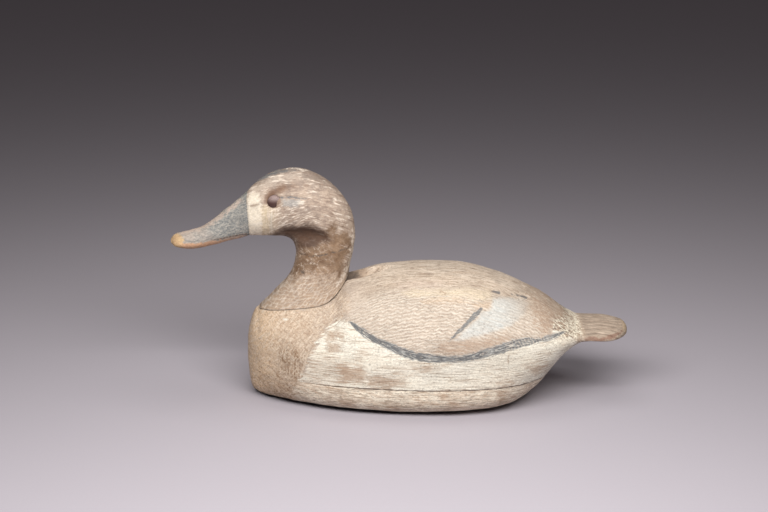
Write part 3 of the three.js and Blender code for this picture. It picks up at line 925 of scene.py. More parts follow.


# The paints, as worn and faded as they are, with the colours of painted shade and light among them.
BACK_TAN = (0.37, 0.3, 0.24)
BACK_BROWN = (0.34, 0.255, 0.185)
BACK_DARK = (0.19, 0.135, 0.095)
BACK_CREAM = (0.56, 0.475, 0.385)
BACK_LINE = (0.57, 0.515, 0.435)
SHOULDER_GREY = (0.32, 0.26, 0.215)
BREAST_TAN = (0.395, 0.288, 0.202)
BREAST_BROWN = (0.21, 0.118, 0.058)
BREAST_PALE = (0.56, 0.46, 0.355)
BREAST_WARM_LIT = (0.53, 0.375, 0.235)
WHITE = (0.645, 0.61, 0.525)
GRAIN_BROWN = (0.3, 0.215, 0.15)
WORN_BROWN = (0.34, 0.235, 0.16)
SPECULUM_WHITE = (0.5, 0.51, 0.485)
SPECULUM_GREY = (0.36, 0.385, 0.38)
CREAM = (0.58, 0.48, 0.34)
ORANGE = (0.47, 0.335, 0.22)
PINK = (0.47, 0.37, 0.305)
SLATE = (0.085, 0.089, 0.094)
SLATE_PALE = (0.33, 0.33, 0.31)
REAR_TAN = (0.335, 0.235, 0.165)
FLECK_CREAM = (0.72, 0.66, 0.53)
TAIL_TAN = (0.235, 0.175, 0.13)
TAIL_PALE = (0.4, 0.32, 0.25)
TAIL_DARK = (0.1, 0.07, 0.05)
TAIL_EDGE_BROWN_AND_SHADE = (0.17, 0.085, 0.055)
BARE_WOOD = (0.42, 0.31, 0.19)
BOARD_CREAM = (0.78, 0.7, 0.57)
SPOT_TAN = (0.44, 0.3, 0.2)
NAPE_SHADE_DARK = (0.06, 0.04, 0.03)
PAINTED_EDGE_SHADE = (0.02, 0.013, 0.01)
CRACK_BROWN = (0.1, 0.07, 0.05)

HEAD_TAN = (0.325, 0.25, 0.193)
HEAD_BROWN = (0.19, 0.13, 0.095)
HEAD_PALE = (0.54, 0.46, 0.38)
HEAD_STROKE = (0.62, 0.535, 0.445)
CROWN_TAN = (0.205, 0.158, 0.125)
FACE_WHITE_PAINT = (0.55, 0.49, 0.405)
FACE_CREAM = (0.5, 0.41, 0.28)
BILL_SLATE = (0.112, 0.12, 0.12)
BILL_SPECKLE = (0.37, 0.338, 0.29)
BILL_OCHRE = (0.42, 0.29, 0.15)
BILL_ORANGE = (0.46, 0.26, 0.15)
BILL_PINK = (0.45, 0.34, 0.27)
BROW_BROWN_AND_SHADE = (0.12, 0.06, 0.032)
JAW_SHADE_BROWN = (0.058, 0.026, 0.012)
NECK_TAN = (0.12, 0.063, 0.03)
NECK_PALE = (0.305, 0.21, 0.135)
GREY_BLUE = (0.24, 0.25, 0.245)
TAUPE = (0.22, 0.165, 0.13)
CROWN_GREY = (0.1, 0.1, 0.1)
EYE_RED = (0.05, 0.022, 0.017)
EYE_DUST_AND_SHEEN = (0.27, 0.195, 0.18)
PAPER = (0.37, 0.343, 0.375)
PAPER_FIBRE = (0.35, 0.323, 0.355)

# The studio: half the floor's width, the lights' places and sizes in metres, and their power in watts.
FLOOR_HALF = 8
ROOM_COLOUR = (0.9, 0.8, 0.82)
ROOM_LIGHT = 0.092
KEY_LIGHT = {"place": (-0.02, -0.64, 0.68), "aim": (0, 0, 0.06), "size": (1.1, 0.35), "power": 15.2,
             "colour": (1, 0.985, 0.97)}
TOP_LIGHT = {"place": (0.05, 0.06, 0.85), "aim": (0.02, 0, 0.06), "size": (0.6, 0.35), "power": 1.8,
             "colour": (1, 0.98, 0.96)}


def combed_back(paint):
    """The back: tan paint combed in wavy rows that show a paler coat, and brushed lengthwise on top."""
    girth, x = paint.field("girth"), paint.axis("X")
    drift = paint.noise(34, (2, 1, 1), shift=8, detail=1)
    shake = paint.flow(x, girth, (6, 5), shift=9, detail=1)
    lively = 0.3 + 1.1 * paint.noise(18, (1.6, 1, 1), shift=10, detail=2)
    bend = paint.sine(x + girth * 0.5 + drift * 8, COMB_WAVE) * COMB_SWING * lively
    ridge = paint.step(paint.sine(girth + bend + drift * 3 + shake * 1.1, COMB_PITCH), -0.6, 0.9)
    shoulder = paint.step(x + drift * 16, *SHOULDER)
    combed = paint.step(girth, *COMBED) * (1 - shoulder * 0.75)
    loaded = paint.flow(x, girth, (10, 2.6), shift=21)
    strokes = paint.flow(x, girth, (16, 2.7), shift=31)
    dashes = paint.step(paint.flow(x, girth, (8, 1.4), shift=32, detail=2), 0.68, 0.95)
    crown = paint.step(girth, *CROWN_BRUSHED)
    broad = paint.flow(x, girth, (26, 7), shift=35)
    dark_broad = paint.step(paint.flow(x, girth, (16, 5), shift=36), 0.55, 0.9)
    colour = paint.blend(paint.step(girth, *BACK_FADE), BACK_BROWN, BACK_TAN)
    colour = paint.blend(crown * broad * 0.65, colour, BACK_CREAM)
    colour = paint.blend(crown * dark_broad * 0.6, colour, BACK_DARK)
    colour = paint.blend(shoulder * 0.7, colour, SHOULDER_GREY)
    colour = paint.blend(strokes * (1 - combed * 0.6) * (0.75 - shoulder * 0.4), colour, BACK_CREAM)
    colour = paint.blend(ridge * combed * (0.3 + 0.6 * loaded), colour, BACK_LINE)
    colour = paint.blend(dashes * (0.7 - combed * 0.4 - shoulder * 0.3), colour, BACK_DARK)
    # In the hollow behind the neck: browner towards the neck, and near-black painted shade in its deepest
    # part.
    nape = paint.step(paint.field("nape_hollow") + (loaded - 0.5) * 0.3, 0.02, 0.25)
    colour = paint.blend(nape * paint.step(x, *NAPE_BROWN) * (0.2 + 0.55 * strokes), colour, BREAST_BROWN)
    deep = paint.step(x + strokes * 7 + (paint.axis("Z") - NAPE_DEEP_Z) * 1.1, *NAPE_DEEP)
    colour = paint.blend(nape * deep * (0.7 + 0.25 * loaded), colour, NAPE_SHADE_DARK)
    return colour, ridge * combed


def breast_paint(paint):
    """The breast: stippled tan, scratched across both ways where it has worn to brown."""
    stipple = paint.noise(1.7, shift=12)
    blotches = paint.noise(6, (1.4, 1, 1), shift=18, detail=4)
    threads = paint.step(paint.noise(1.2, (9, 4, 1), shift=13, detail=2, place=paint.turned(48)), 0.5, 0.9)
    crossing = paint.noise(1.2, (7, 4, 1), shift=14, detail=2, place=paint.turned(-40))
    crossing = paint.step(crossing, 0.55, 0.9)
    upright = paint.step(paint.noise(1.3, (1, 2, 9), shift=15, detail=2), 0.5, 0.85)
    cloud = paint.noise(14, shift=16)
    x = paint.axis("X")
    low = paint.step(paint.axis("Z") + cloud * 22, *BREAST_LOW)
    dark = paint.inside("breast_dark", cloud, reach=10, soft=5)
    worn = low * 0.44 + dark * 0.8
    colour = paint.blend(worn, BREAST_TAN, BREAST_BROWN)
    # The breast's front edge: warmer paint, made lighter as painted light where it turns from the lamp.
    colour = paint.blend(paint.step(x, *BREAST_FRONT) * 0.95, colour, BREAST_WARM_LIT)
    colour = paint.blend(paint.step(x + cloud * 12, *BREAST_REAR) * 0.75, colour, SHOULDER_GREY)
    colour = paint.blend(stipple * (0.32 - worn * 0.1), colour, BREAST_PALE)
    colour = paint.blend(blotches * 0.35, colour, BREAST_PALE)
    colour = paint.blend(threads * 0.75, colour, BREAST_PALE)
    colour = paint.blend(crossing * (0.3 + 0.55 * worn), colour, BREAST_BROWN)
    colour = paint.blend(dark * upright * 0.7, colour, BREAST_PALE)
    pits = paint.step(paint.noise(1.6, (1.3, 1, 1), shift=17, detail=2), 0.8, 0.95)
    return paint.blend(pits * (0.5 + low * 0.5), colour, BREAST_BROWN)


def worn_white(paint, white, spots, rag):
    """White paint over wood: brown grain lines show through it, and it has worn off in streaky patches."""
    hairs = paint.noise(0.8, (30, 14, 1), shift=41, detail=2)
    bands = paint.noise(4, (10, 5, 1), shift=42)
    lines = paint.step(hairs, 0.5, 0.88) * (0.15 + 0.85 * bands)
    streaks = paint.noise(1.4, (12, 6, 1), shift=43)
    dashes = paint.step(paint.noise(1.3, (6, 3, 1), shift=44, detail=2), 0.72, 0.95)
    cloud = paint.noise(26, (2, 1, 1), shift=45)
    colour = paint.blend(cloud * 0.45, white, FLECK_CREAM)
    colour = paint.blend(paint.step(cloud, 0.5, 1) * streaks * 0.3, colour, WORN_BROWN)
    colour = paint.blend(lines * 0.8, colour, GRAIN_BROWN)
    colour = paint.blend(dashes * 0.5 * bands, colour, GRAIN_BROWN)
    thin = paint.inside("thin_white", streaks, reach=9, soft=5)
    colour = paint.blend(thin * (0.15 + 0.45 * paint.step(hairs, 0.35, 0.8)), colour, WORN_BROWN)
    worn = paint.inside("worn_spots", streaks * 0.7 + rag * 0.3, reach=12, soft=3)
    return paint.blend(worn * (0.45 + 0.55 * streaks), colour, spots), lines


def board_seam(paint, colour, rag):
    """The dark line of the joint with the bottom board, which the breast's paint hides in front."""
    from_seam = paint.node("ShaderNodeMath", {"operation": "ABSOLUTE"}, {0: paint.axis("Z") - SEAM_Z})
    line = paint.step(from_seam + (rag - 0.5) * 0.7, 0.85, 0.3) * paint.step(paint.axis("X"), *SEAM_SHOWS)
    return paint.blend(line * 0.85, colour, CRACK_BROWN)


def wing_marks(paint, colour, rag):
    """The slate line under the wing and the stripe before the speculum, brushed along their length."""
    x = paint.axis("X")
    line = paint.field("wing_line")
    along = paint.flow(x, line, (11, 1), shift=61)
    tatter = paint.flow(x, line, (6, 1.3), shift=62)
    worn = 0.15 + 0.75 * paint.step(x, *LINE_WORN)
    slate = paint.blend(paint.step(along, 0.35, 0.9) * worn, SLATE, SLATE_PALE)
    slate = paint.blend(paint.step(line, -1.6, 0.4) * 0.5, slate, SLATE_PALE)
    girth = paint.field("girth")
    hatch = paint.step(paint.sine(x - girth * 0.8 + rag * 2.4, 4.6), 0.1, 0.95) * (0.3 + 0.7 * tatter)
    hatched = paint.step(x + rag * 8, *HATCH_FROM) * paint.step(x, *HATCH_TO)
    slate = paint.blend(hatch * hatched * 0.55, slate, BACK_CREAM)
    cover = paint.step(line + (tatter - 0.5) * 2.4, 0.8, -0.9)
    gaps = paint.step(paint.flow(x, line, (8, 0.9), shift=64, detail=2), 0.72, 0.95)
    colour = paint.blend(cover * (0.95 - 0.6 * gaps), colour, slate)
    stripe = paint.field("wing_stripe")
    stripe_tone = paint.blend(paint.flow(x, stripe, (7, 0.8), shift=65) * 0.45, SLATE, SLATE_PALE)
    cover = paint.step(stripe + (rag - 0.5) * 1.4, 0.7, -0.7)
    return paint.blend(cover * (0.95 - 0.4 * gaps), colour, stripe_tone)


def rear_paint(paint, colour, rag, grain):
    """The brown behind the wing, and the cream flecks and crackle round the tail's root."""
    slant = paint.turned(50)
    scores = paint.step(paint.noise(1.1, (1, 2, 6), shift=70, detail=2, place=slant), 0.5, 0.9)
    rear = paint.inside("rear_brown", rag, reach=14, soft=7)
    colour = paint.blend(rear * (0.62 + 0.3 * grain), colour, REAR_TAN)
    near_root = paint.step(paint.axis("X") + rag * 10, *ROOT_BROWN)
    colour = paint.blend(near_root * 0.35, colour, BREAST_BROWN)
    colour = paint.blend(paint.step(paint.axis("X"), *REAR_SCORED) * scores * 0.5, colour, BACK_CREAM)
    flecks = paint.inside("root_flecks", rag, reach=6, soft=2.6)
    grit = paint.step(paint.noise(1.7, (1, 1, 2.6), shift=71, detail=2, place=slant), 0.52, 0.68)
    specks = paint.step(paint.noise(1.8, (1, 1, 2.6), shift=72, detail=2, place=slant), 0.5, 0.7)
    colour = paint.blend(flecks * specks * 0.75, colour, CRACK_BROWN)
    colour = paint.blend(flecks * grit * 0.95, colour, FLECK_CREAM)
    root = paint.inside("root_cream", rag, reach=4, soft=1.6)
    splits = paint.cracks(3, (1.8, 1, 1), shift=73, width=0.12)
    colour = paint.blend(root * (0.9 - 0.85 * splits), colour, FLECK_CREAM)
    return paint.blend(root * splits * 0.6, colour, BREAST_BROWN)


def tail_paint(paint, rag, fine):
    """The tail: brown, dark in its grooves, reddish brown with painted shade along the near edge and bare at
    the tip.
    """
    x = paint.axis("X")
    streaks = paint.noise(1.1, (12, 1.6, 1), shift=81)
    patches = paint.noise(9, (2.4, 1, 1), shift=82)
    colour = paint.blend(streaks * 0.5 + patches * 0.4, TAIL_TAN, TAIL_PALE)
    grooved = paint.step(paint.field("tail_groove") + (streaks - 0.5) * 2.4, 1.6, 0)
    colour = paint.blend(grooved * (0.15 + 0.45 * patches), colour, TAIL_DARK)
    # The near edge's side, reddish brown and darkened as painted shade.
    colour = paint.mark(colour, TAIL_EDGE_BROWN_AND_SHADE, "tail_near_edge", rag, reach=3, soft=1.2, amount=0.75)
    bare = paint.step(x + fine * 4, *TAIL_BARE)
    return paint.blend(bare * 0.6, colour, BARE_WOOD)


def painted_body():
    """The body: back, rear, breast and white side, the wing's marks over them, then crackle and specks."""
    paint = Finish("painted_body")
    fine = paint.fine_grain()
    rag = paint.noise(3, (2.2, 1.4, 1), shift=4, detail=4)
    grain = paint.noise(1.5, (14, 3, 1), shift=1)
    cloud = paint.noise(42, (1.6, 1, 1), shift=5)
    girth, x = paint.field("girth"), paint.axis("X")
    strokes = paint.flow(x, girth, (14, 1.8), shift=34)
    colour, comb = combed_back(paint)
    colour = rear_paint(paint, colour, rag, grain)
    colour = paint.mark(colour, breast_paint(paint), "breast", rag, reach=6, soft=3.4)

    white, hairs = worn_white(paint, WHITE, WORN_BROWN, rag)
    side = paint.inside("white_side", strokes, reach=7, soft=1)
    colour = paint.blend(side, colour, white)
    colour = paint.mark(colour, BREAST_PALE, "breast_edge", rag, reach=1.2, soft=0.8, amount=0.7)
    colour = paint.mark(colour, WORN_BROWN, "side_scratch", rag, reach=0.8, soft=0.7, amount=0.6)
    colour = board_seam(paint, colour, rag)

    covered = 0.25 + 0.6 * strokes
    colour = paint.mark(colour, REAR_TAN, "lower_tan", strokes, reach=6, soft=2.6, amount=covered)
    bright = paint.step(x, *SPECULUM_BRIGHT)
    spec = paint.inside("speculum", strokes * 0.6 + rag * 0.4, reach=5, soft=2.6)
    spec_tone = paint.blend(paint.flow(x, girth, (7, 3), shift=52) * 0.55, SPECULUM_WHITE, SPECULUM_GREY)
    colour = paint.blend(spec * (0.12 + 0.7 * bright) * (0.6 + 0.45 * strokes), colour, spec_tone)
    colour = paint.mark(colour, PINK, "pink_band", strokes, reach=8, soft=3.6, amount=0.15 + 0.45 * strokes)
    colour = paint.mark(colour, CREAM, "cream_band", strokes, reach=6, soft=2.6, amount=0.2 + 0.6 * strokes)
    colour = paint.mark(colour, ORANGE, "orange", strokes, reach=5, soft=2.2, amount=0.2 + 0.45 * strokes)
    colour = wing_marks(paint, colour, rag)
    colour = paint.mark(colour, SLATE, "dark_nicks", rag, reach=1.6, soft=0.6, amount=0.8)
    colour = paint.mark(colour, WORN_BROWN, "brown_nicks", fine, reach=2, soft=0.8, amount=0.6)
    colour = paint.mark(colour, WHITE, "pale_nicks", fine, reach=0.8, soft=0.7)

    on_tail = paint.step(x + rag * 5, *TAIL_PAINT)
    colour = paint.blend(on_tail, colour, tail_paint(paint, rag, fine))
    crackle = paint.cracks(4.2, (1.5, 1, 1), shift=91, width=0.035) * paint.noise(20, shift=92)
    colour = paint.blend(crackle * 0.3, colour, CRACK_BROWN)
    specks = paint.step(paint.noise(1.3, (1.3, 1, 1), shift=93, detail=2), 0.86, 0.97)
    colour = paint.blend(specks * 0.4, colour, CRACK_BROWN)
    colour = paint.shade(colour, 0.81 + 0.14 * cloud + 0.25 * fine)
    height = 0.5 + 0.28 * comb - 0.22 * hairs * side + 0.22 * grain + 0.1 * fine - 0.5 * crackle
    return paint.done(colour, roughness=0.72 + 0.2 * rag, height=height, depth=0.3)


def painted_board():
    """The bottom board: worn white paint with the breast's tan in front, browner towards its lower edge, and
    painted shade along the edge itself.
    """
    paint = Finish("painted_board")
    rag = paint.noise(3, (2.4, 1.4, 1), shift=4, detail=4)
    fine = paint.fine_grain()
    colour, hairs = worn_white(paint, BOARD_CREAM, SPOT_TAN, rag)
    checks = paint.noise(1.5, (6, 5, 1), shift=6, detail=2)
    colour = paint.blend(paint.step(checks, 0.58, 0.8) * 0.6, colour, GRAIN_BROWN)
    scrubs = paint.step(paint.noise(2.2, (7, 4, 1), shift=7, place=paint.turned(-8)), 0.45, 0.85)
    colour = paint.blend(scrubs * 0.4, colour, SPOT_TAN)
    colour = paint.mark(colour, breast_paint(paint), "breast", rag, reach=12, soft=6)
    z = paint.axis("Z")
    # Browner towards the lower edge.
    colour = paint.blend(paint.step(z + rag * 3, *BROWNER_BELOW) * 0.3, colour, WORN_BROWN)
    # Painted shade along the board's lower edge, for the shadow where it meets the floor.
    edge_shade = z + rag * 1.6 + paint.step(paint.axis("X"), *EDGE_SHADE_REAR) * EDGE_SHADE_LESS
    colour = paint.blend(paint.step(edge_shade, *EDGE_SHADE_HEIGHT) * 0.95, colour, PAINTED_EDGE_SHADE)
    colour = board_seam(paint, colour, rag)
    specks = paint.step(paint.noise(1.3, (1.6, 1, 1), shift=93, detail=2), 0.84, 0.97)
    colour = paint.blend(specks * 0.45, colour, CRACK_BROWN)
    colour = paint.shade(colour, 0.81 + 0.14 * paint.noise(30, (2, 1, 1), shift=5) + 0.25 * fine)
    return paint.done(colour, roughness=0.76 + 0.16 * rag, height=0.6 + 0.2 * fine - 0.45 * hairs, depth=0.3)


def head_paint(paint, mottle):
    """The head: strokes bow over the crown, rise across the cheek and run across behind the bill."""
    px, py = paint.field("picture_x"), paint.field("picture_y")
    arched = py - (px - CROWN_MIDDLE) * (px - CROWN_MIDDLE) * CROWN_ARCH
    over = paint.flow(px, arched, (17, 2.3), shift=1) * (0.35 + 0.65 * paint.noise(12, (1.5, 1, 1), shift=5))
    over_dark = paint.step(paint.flow(px, arched, (12, 1.8), shift=2, detail=2), 0.6, 0.95)
    rising = paint.flow(px, py + px * 0.4, (8, 1.8), shift=3)
    on_cheek = paint.step(py + mottle * 4, *CHEEK_BELOW) * paint.step(px + mottle * 8, *CHEEK_BEFORE)
    crown = paint.step(py + mottle * 6, *CROWN_FROM)
    colour = paint.blend(crown, HEAD_TAN, CROWN_TAN)
    stroke = over * (1 - on_cheek) + rising * on_cheek
    colour = paint.blend(paint.step(stroke, 0.38, 0.82) * 0.9, colour, HEAD_STROKE)
    colour = paint.blend(over_dark * 0.85, colour, HEAD_BROWN)
    clouds = paint.step(paint.noise(5, (1.6, 1, 1), shift=6), 0.45, 0.9)
    colour = paint.blend(clouds * 0.55, colour, TAUPE)
    upright = paint.flow(py, px, (14, 1.5), shift=4)
    front = paint.step(px + mottle * 5, *FACE_BEFORE) * paint.step(py, *FACE_BELOW)
    colour = paint.blend(front * 0.45, colour, FACE_CREAM)
    return paint.blend(front * paint.step(upright, 0.5, 0.85) * 0.7, colour, HEAD_PALE), stroke


def neck_paint(paint, colour, mottle):
    """The neck: worn brown with pale crackle, and combed pale in rows that follow its foot."""
    px, rise = paint.field("picture_x"), paint.field("above_seam")
    py = paint.field("picture_y")
    brown = paint.inside("neck_brown", mottle, reach=14, soft=7)
    base = paint.blend(paint.noise(5, (1.4, 1, 1), shift=21, detail=5) * 0.5, NECK_TAN, NECK_PALE)
    colour = paint.blend(brown * 0.95, colour, base)
    low = paint.step(py + mottle * 8, *NECK_LOW)
    row = rise + paint.sine(px, 9) * 0.4 + paint.flow(px, rise, (14, 9), shift=24, detail=1) * 2
    rows = paint.step(paint.sine(row, 3.1), 0, 0.95) * (0.2 + 0.6 * paint.flow(px, rise, (9, 3), shift=25))
    smears = paint.step(paint.flow(px + rise, rise - px, (9, 2.4), shift=26), 0.45, 0.9)
    combed = paint.blend(0.1 + smears * 0.6, NECK_PALE, HEAD_PALE)
    combed = paint.blend(rows * 0.9, combed, HEAD_PALE)
    combed = paint.blend(paint.noise(3.4, (1.8, 1, 1), shift=23, detail=4) * 0.4, combed, HEAD_BROWN)
    colour = paint.blend(low * 0.9, colour, combed)
    # Painted shade under the jaw's scoop, laid over its brown paint.
    jaw = paint.step(paint.field("jaw_shade") + (mottle - 0.5) * 4, 5, -4)
    colour = paint.blend(jaw * 0.96, colour, JAW_SHADE_BROWN)
    crackle = paint.cracks(9, (1.5, 1, 1), shift=91, place=paint.turned(-30)) * paint.noise(5, shift=92)
    flecks = paint.step(paint.noise(2.6, (1.8, 1, 1), shift=94, place=paint.turned(-35)), 0.76, 0.95)
    bare = brown * (1 - jaw * 0.8) * paint.step(px + mottle * 6, *NECK_BARE)
    colour = paint.blend(crackle * bare * 0.42, colour, HEAD_PALE)
    colour = paint.blend(flecks * bare * 0.4, colour, HEAD_PALE)
    joint = paint.step(rise, 1.1, 0.3)
    return paint.blend(joint * 0.85, colour, CRACK_BROWN)


def face_marks(paint, colour, rag):
    """The white patch behind the bill, and the marks round the eye and along the crown."""
    px = paint.field("picture_x")
    white = paint.blend(rag * 0.35, FACE_WHITE_PAINT, FACE_CREAM)
    colour = paint.mark(colour, HEAD_PALE, "forehead", rag, reach=5, soft=3, amount=0.3)
    colour = paint.mark(colour, FACE_CREAM, "face_strip", rag, reach=3, soft=2.4, amount=0.5)
    high = paint.step(paint.field("picture_y") + rag * 4, *FACE_WHITE_FADE)
    colour = paint.mark(colour, white, "face_white", rag, reach=3, soft=1.8, amount=1 - high * 0.85)
    colour = paint.mark(colour, FACE_WHITE_PAINT, "face_strokes", rag, reach=1.4, soft=0.8, amount=0.7)
    colour = paint.mark(colour, BROW_BROWN_AND_SHADE, "smudge", rag, reach=1.4, soft=1.6, amount=0.75)
    # The brow's brown band, darkened with painted shade in its carved hollow.
    brow = paint.field("brow")
    combed = paint.flow(px, brow, (9, 1.1), shift=42)
    cover = paint.step(brow + (combed - 0.5) * 2.4, 4.4, -1.6) * paint.step(px, *BROW_FADE)
    colour = paint.blend(cover * (0.8 + 0.2 * combed), colour, BROW_BROWN_AND_SHADE)
    colour = paint.mark(colour, GREY_BLUE, "grey_wash", rag, reach=3, soft=1.8, amount=0.55)
    colour = paint.mark(colour, SLATE, "eye_streak", rag, reach=1, soft=0.7, amount=0.8)
    colour = paint.mark(colour, TAUPE, "cheek_blotch", rag, reach=6, soft=3, amount=0.65)
    colour = paint.mark(colour, FACE_WHITE_PAINT, "cheek_spots", rag, reach=1.8, soft=0.9, amount=0.75)
    crown = paint.field("crown_streaks")
    split = paint.flow(px, crown, (8, 0.9), shift=43)
    cover = paint.step(crown + (split - 0.5) * 2.6, 0.9, -0.7)
    colour = paint.blend(cover * 0.9, colour, CROWN_GREY)
    # Painted shade in a ring round the eye's socket.
    ring = paint.step(paint.field("around_eye"), 8.4, 5.8)
    return paint.blend(ring * 0.55, colour, BROW_BROWN_AND_SHADE)


def bill_paint(paint, rag, mottle):
    """The bill: speckled slate, rubbed pale along its ridge, with an ochre tip and an orange lower edge."""
    px, py = paint.field("picture_x"), paint.field("picture_y")
    speckle = paint.noise(1.6, shift=31, detail=5)
    brushed = paint.flow(px, py + px * 0.38, (5, 1.4), shift=32)
    colour = paint.blend(speckle * 0.5, BILL_SLATE, BILL_SPECKLE)
    colour = paint.blend(paint.step(brushed, 0.4, 0.95) * 0.55, colour, BILL_SPECKLE)
    forward = paint.step(px + mottle * 16, *BILL_WORN)
    colour = paint.blend(forward * 0.38, colour, BILL_PINK)
    colour = paint.mark(colour, BILL_PINK, "bill_worn_ridge", rag, reach=4, soft=2, amount=0.6)
    colour = paint.mark(colour, BILL_SLATE, "bill_dashes", rag, reach=1.8, soft=0.8, amount=0.55)
    edge = paint.blend(paint.step(px, *BILL_EDGE_FADE) * 0.7, BILL_ORANGE, BILL_PINK)
    colour = paint.mark(colour, edge, "bill_lower_edge", rag, reach=2, soft=1, amount=0.9)
    dotted = paint.step(paint.sine(px, 3.1), -0.5, 0.4)
    colour = paint.mark(colour, BROW_BROWN_AND_SHADE, "bill_mouth", None, reach=0, soft=0.6, amount=0.5 + 0.5 * dotted)
    tip = paint.blend(rag * 0.4, BILL_OCHRE, BILL_ORANGE)
    return paint.mark(colour, tip, "bill_tip", rag, reach=4, soft=2.2, amount=0.95)


def painted_head():
    """The head, neck and bill, which is painted up to a drawn edge, and the crack in the neck."""
    paint = Finish("painted_head")
    fine = paint.fine_grain()
    rag = paint.noise(2.4, (1.6, 1, 1), shift=4, detail=4)
    mottle = paint.noise(9, shift=3)
    colour, stroke = head_paint(paint, mottle)
    colour = neck_paint(paint, colour, mottle)
    colour = face_marks(paint, colour, rag)
    behind = paint.field("behind_bill")
    on_bill = paint.step(behind + (fine - 0.5) * 0.8, 0.5, -0.5)
    colour = paint.blend(on_bill, colour, bill_paint(paint, rag, mottle))
    seam = paint.step(behind, -1.6, -0.4) * paint.step(behind, 0.8, 0)
    colour = paint.blend(seam * 0.55, colour, BILL_SLATE)
    split = paint.inside("neck_crack", fine, reach=1, soft=0.6)
    colour = paint.blend(split * paint.step(rag, 0.35, 0.65), colour, CRACK_BROWN)
    colour = paint.mark(colour, CRACK_BROWN, "neck_knot", fine, reach=1, soft=0.6)
    # A painted highlight along the neck's back edge, where the light catches it.
    colour = paint.mark(colour, HEAD_PALE, "neck_rim_highlight", rag, reach=4, soft=1.4, amount=0.8)
    colour = paint.shade(colour, 0.8 + 0.14 * mottle + 0.27 * fine)
    height = 0.5 + 0.35 * stroke + 0.15 * fine - 0.4 * split
    return paint.done(colour, roughness=0.62 + 0.26 * mottle, height=height, depth=0.25)


def dusty_sheened_eye():
    """A dark red eye, lighter over its upper part with dust and a painted sheen of the light from above."""
    paint = Finish("dusty_sheened_eye")
    up = paint.step(paint.axis("Z"), *EYE_DUST_AND_SHEEN_Z)
    dust_and_sheen = up * (0.6 + 0.4 * paint.noise(0.9, shift=1))
    colour = paint.blend(dust_and_sheen * 0.8, EYE_RED, EYE_DUST_AND_SHEEN)
    pits = paint.noise(0.6, shift=2, detail=2)
    return paint.done(colour, roughness=0.3 + 0.35 * dust_and_sheen, height=pits, depth=0.05)


def eyeball(name, side, growth):
    """A lens-shaped eye, or with some growth the socket that it sits in."""
    bm = bmesh.new()
    bmesh.ops.create_uvsphere(bm, u_segments=EYE_SEGMENTS, v_segments=EYE_SEGMENTS // 2, radius=1)
    size = (EYE["radius"] + growth, EYE["thickness"] + growth, EYE["radius"] + growth)
    bmesh.ops.scale(bm, verts=bm.verts, vec=Vector(size) * MM)
    place = (EYE["x"], side * (EYE["cheek"] + EYE["proud"] - EYE["thickness"]), EYE["z"])
    bmesh.ops.translate(bm, verts=bm.verts, vec=Vector(place) * MM)
    return finish_mesh(name, bm)


def dress(obj, node, material, crease):
    """Gives a finished piece its shading, its finish and its place in the frame."""
    obj.data.shade_smooth()
    obj.data.set_sharp_from_angle(angle=math.radians(crease))
    obj.data.materials.clear()
    obj.data.materials.append(material)
    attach(obj, "root")
    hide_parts(node)


def body_and_board():
    """The carved hull, parted at the seam into the body and its bottom board, with the neck's seat cut."""
    body = tube("carved_body", hull_rings())
    carve_hull(body)
    board = body.copy()
    board.data = body.data.copy()
    board.name = board.data.name = "carved_board"
    bpy.context.collection.objects.link(board)
    slab_cut(body, SEAM_Z + SEAM_HALF_GAP, True)
    slab_cut(board, SEAM_Z - SEAM_HALF_GAP, False)
    slab_cut(board, 0, True)
    cut(body, above_seat(lambda x: np.full(len(x), -HALF_GAP)), "DIFFERENCE")
    mark_body(body)
    mark_body(board)
    dress(body, "body", painted_body(), HULL_CREASE)
    dress(board, "bottom_board", painted_board(), HULL_CREASE)


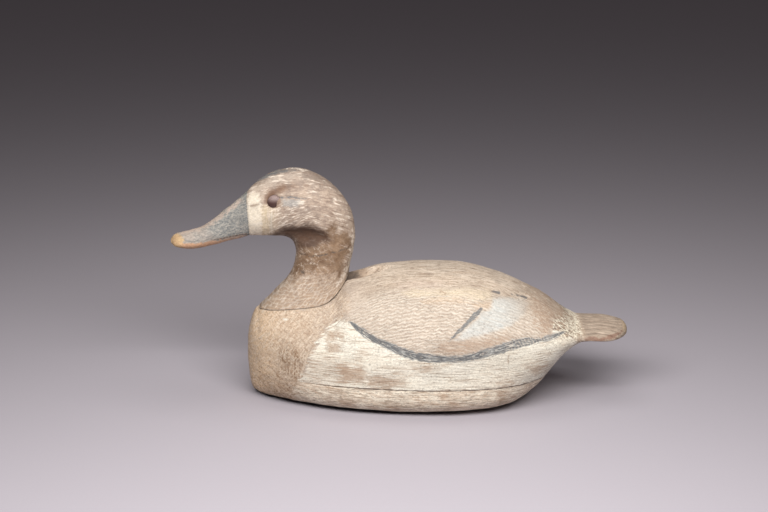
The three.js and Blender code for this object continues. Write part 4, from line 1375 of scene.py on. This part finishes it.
def head_and_eyes():
    """The head and neck, opened a little behind its foot, with a socket and a lens for each eye."""
    head = tube("carved_head", head_rings())
    carve_head(head)
    cut(head, above_seat(foot_gap), "INTERSECT")
    for side in (-1, 1):
        cut(head, eyeball("socket", side, 2 * HALF_GAP), "DIFFERENCE")
    mark_head(head)
    dress(head, "head_neck", painted_head(), HEAD_CREASE)
    finish = dusty_sheened_eye()
    for side, name in ((-1, "left"), (1, "right")):
        dress(eyeball("eye_lens_" + name, side, 0), "eye_" + name, finish, EYE_CREASE)


def camera():
    data = bpy.data.cameras.new("camera")
    data.lens = LENS
    data.sensor_width = SENSOR
    data.clip_end = FAR_CLIP
    obj = bpy.data.objects.new("camera", data)
    bpy.context.collection.objects.link(obj)
    away = Vector((0, -math.cos(ELEVATION), math.sin(ELEVATION)))
    obj.location = (Vector(AIM) + away * DISTANCE) * MM
    obj.rotation_euler = away.to_track_quat("Z", "Y").to_euler()
    bpy.context.scene.camera = obj


def area_light(name, place, aim, size, power, colour):
    """A rectangular light that looks from its place at its aim, in metres and watts."""
    data = bpy.data.lights.new(name, "AREA")
    data.shape = "RECTANGLE"
    data.size, data.size_y = size
    data.energy = power
    data.color = colour
    obj = bpy.data.objects.new(name, data)
    obj.location = place
    obj.rotation_euler = (Vector(place) - Vector(aim)).to_track_quat("Z", "Y").to_euler()
    bpy.context.collection.objects.link(obj)


def floor():
    """A plain sheet of pale grey paper that runs out of the picture."""
    bm = bmesh.new()
    bmesh.ops.create_grid(bm, x_segments=1, y_segments=1, size=FLOOR_HALF)
    obj = finish_mesh("floor", bm)
    finish = Finish("table_paper")
    fibres = finish.noise(2.2, shift=1)
    colour = finish.blend(fibres * 0.3, PAPER, PAPER_FIBRE)
    obj.data.materials.append(finish.done(colour, roughness=0.9, height=fibres, depth=0.02))


def studio():
    """A dim even room, with a soft light in front of the bird and a weaker one above it."""
    world = bpy.data.worlds.new("studio")
    world.use_nodes = True
    background = world.node_tree.nodes["Background"]
    background.inputs["Color"].default_value = (*ROOM_COLOUR, 1)
    background.inputs["Strength"].default_value = ROOM_LIGHT
    bpy.context.scene.world = world
    area_light("key_light", **KEY_LIGHT)
    area_light("top_light", **TOP_LIGHT)
    bpy.context.scene.view_settings.view_transform = "Standard"


camera()
body_and_board()
head_and_eyes()
floor()
studio()
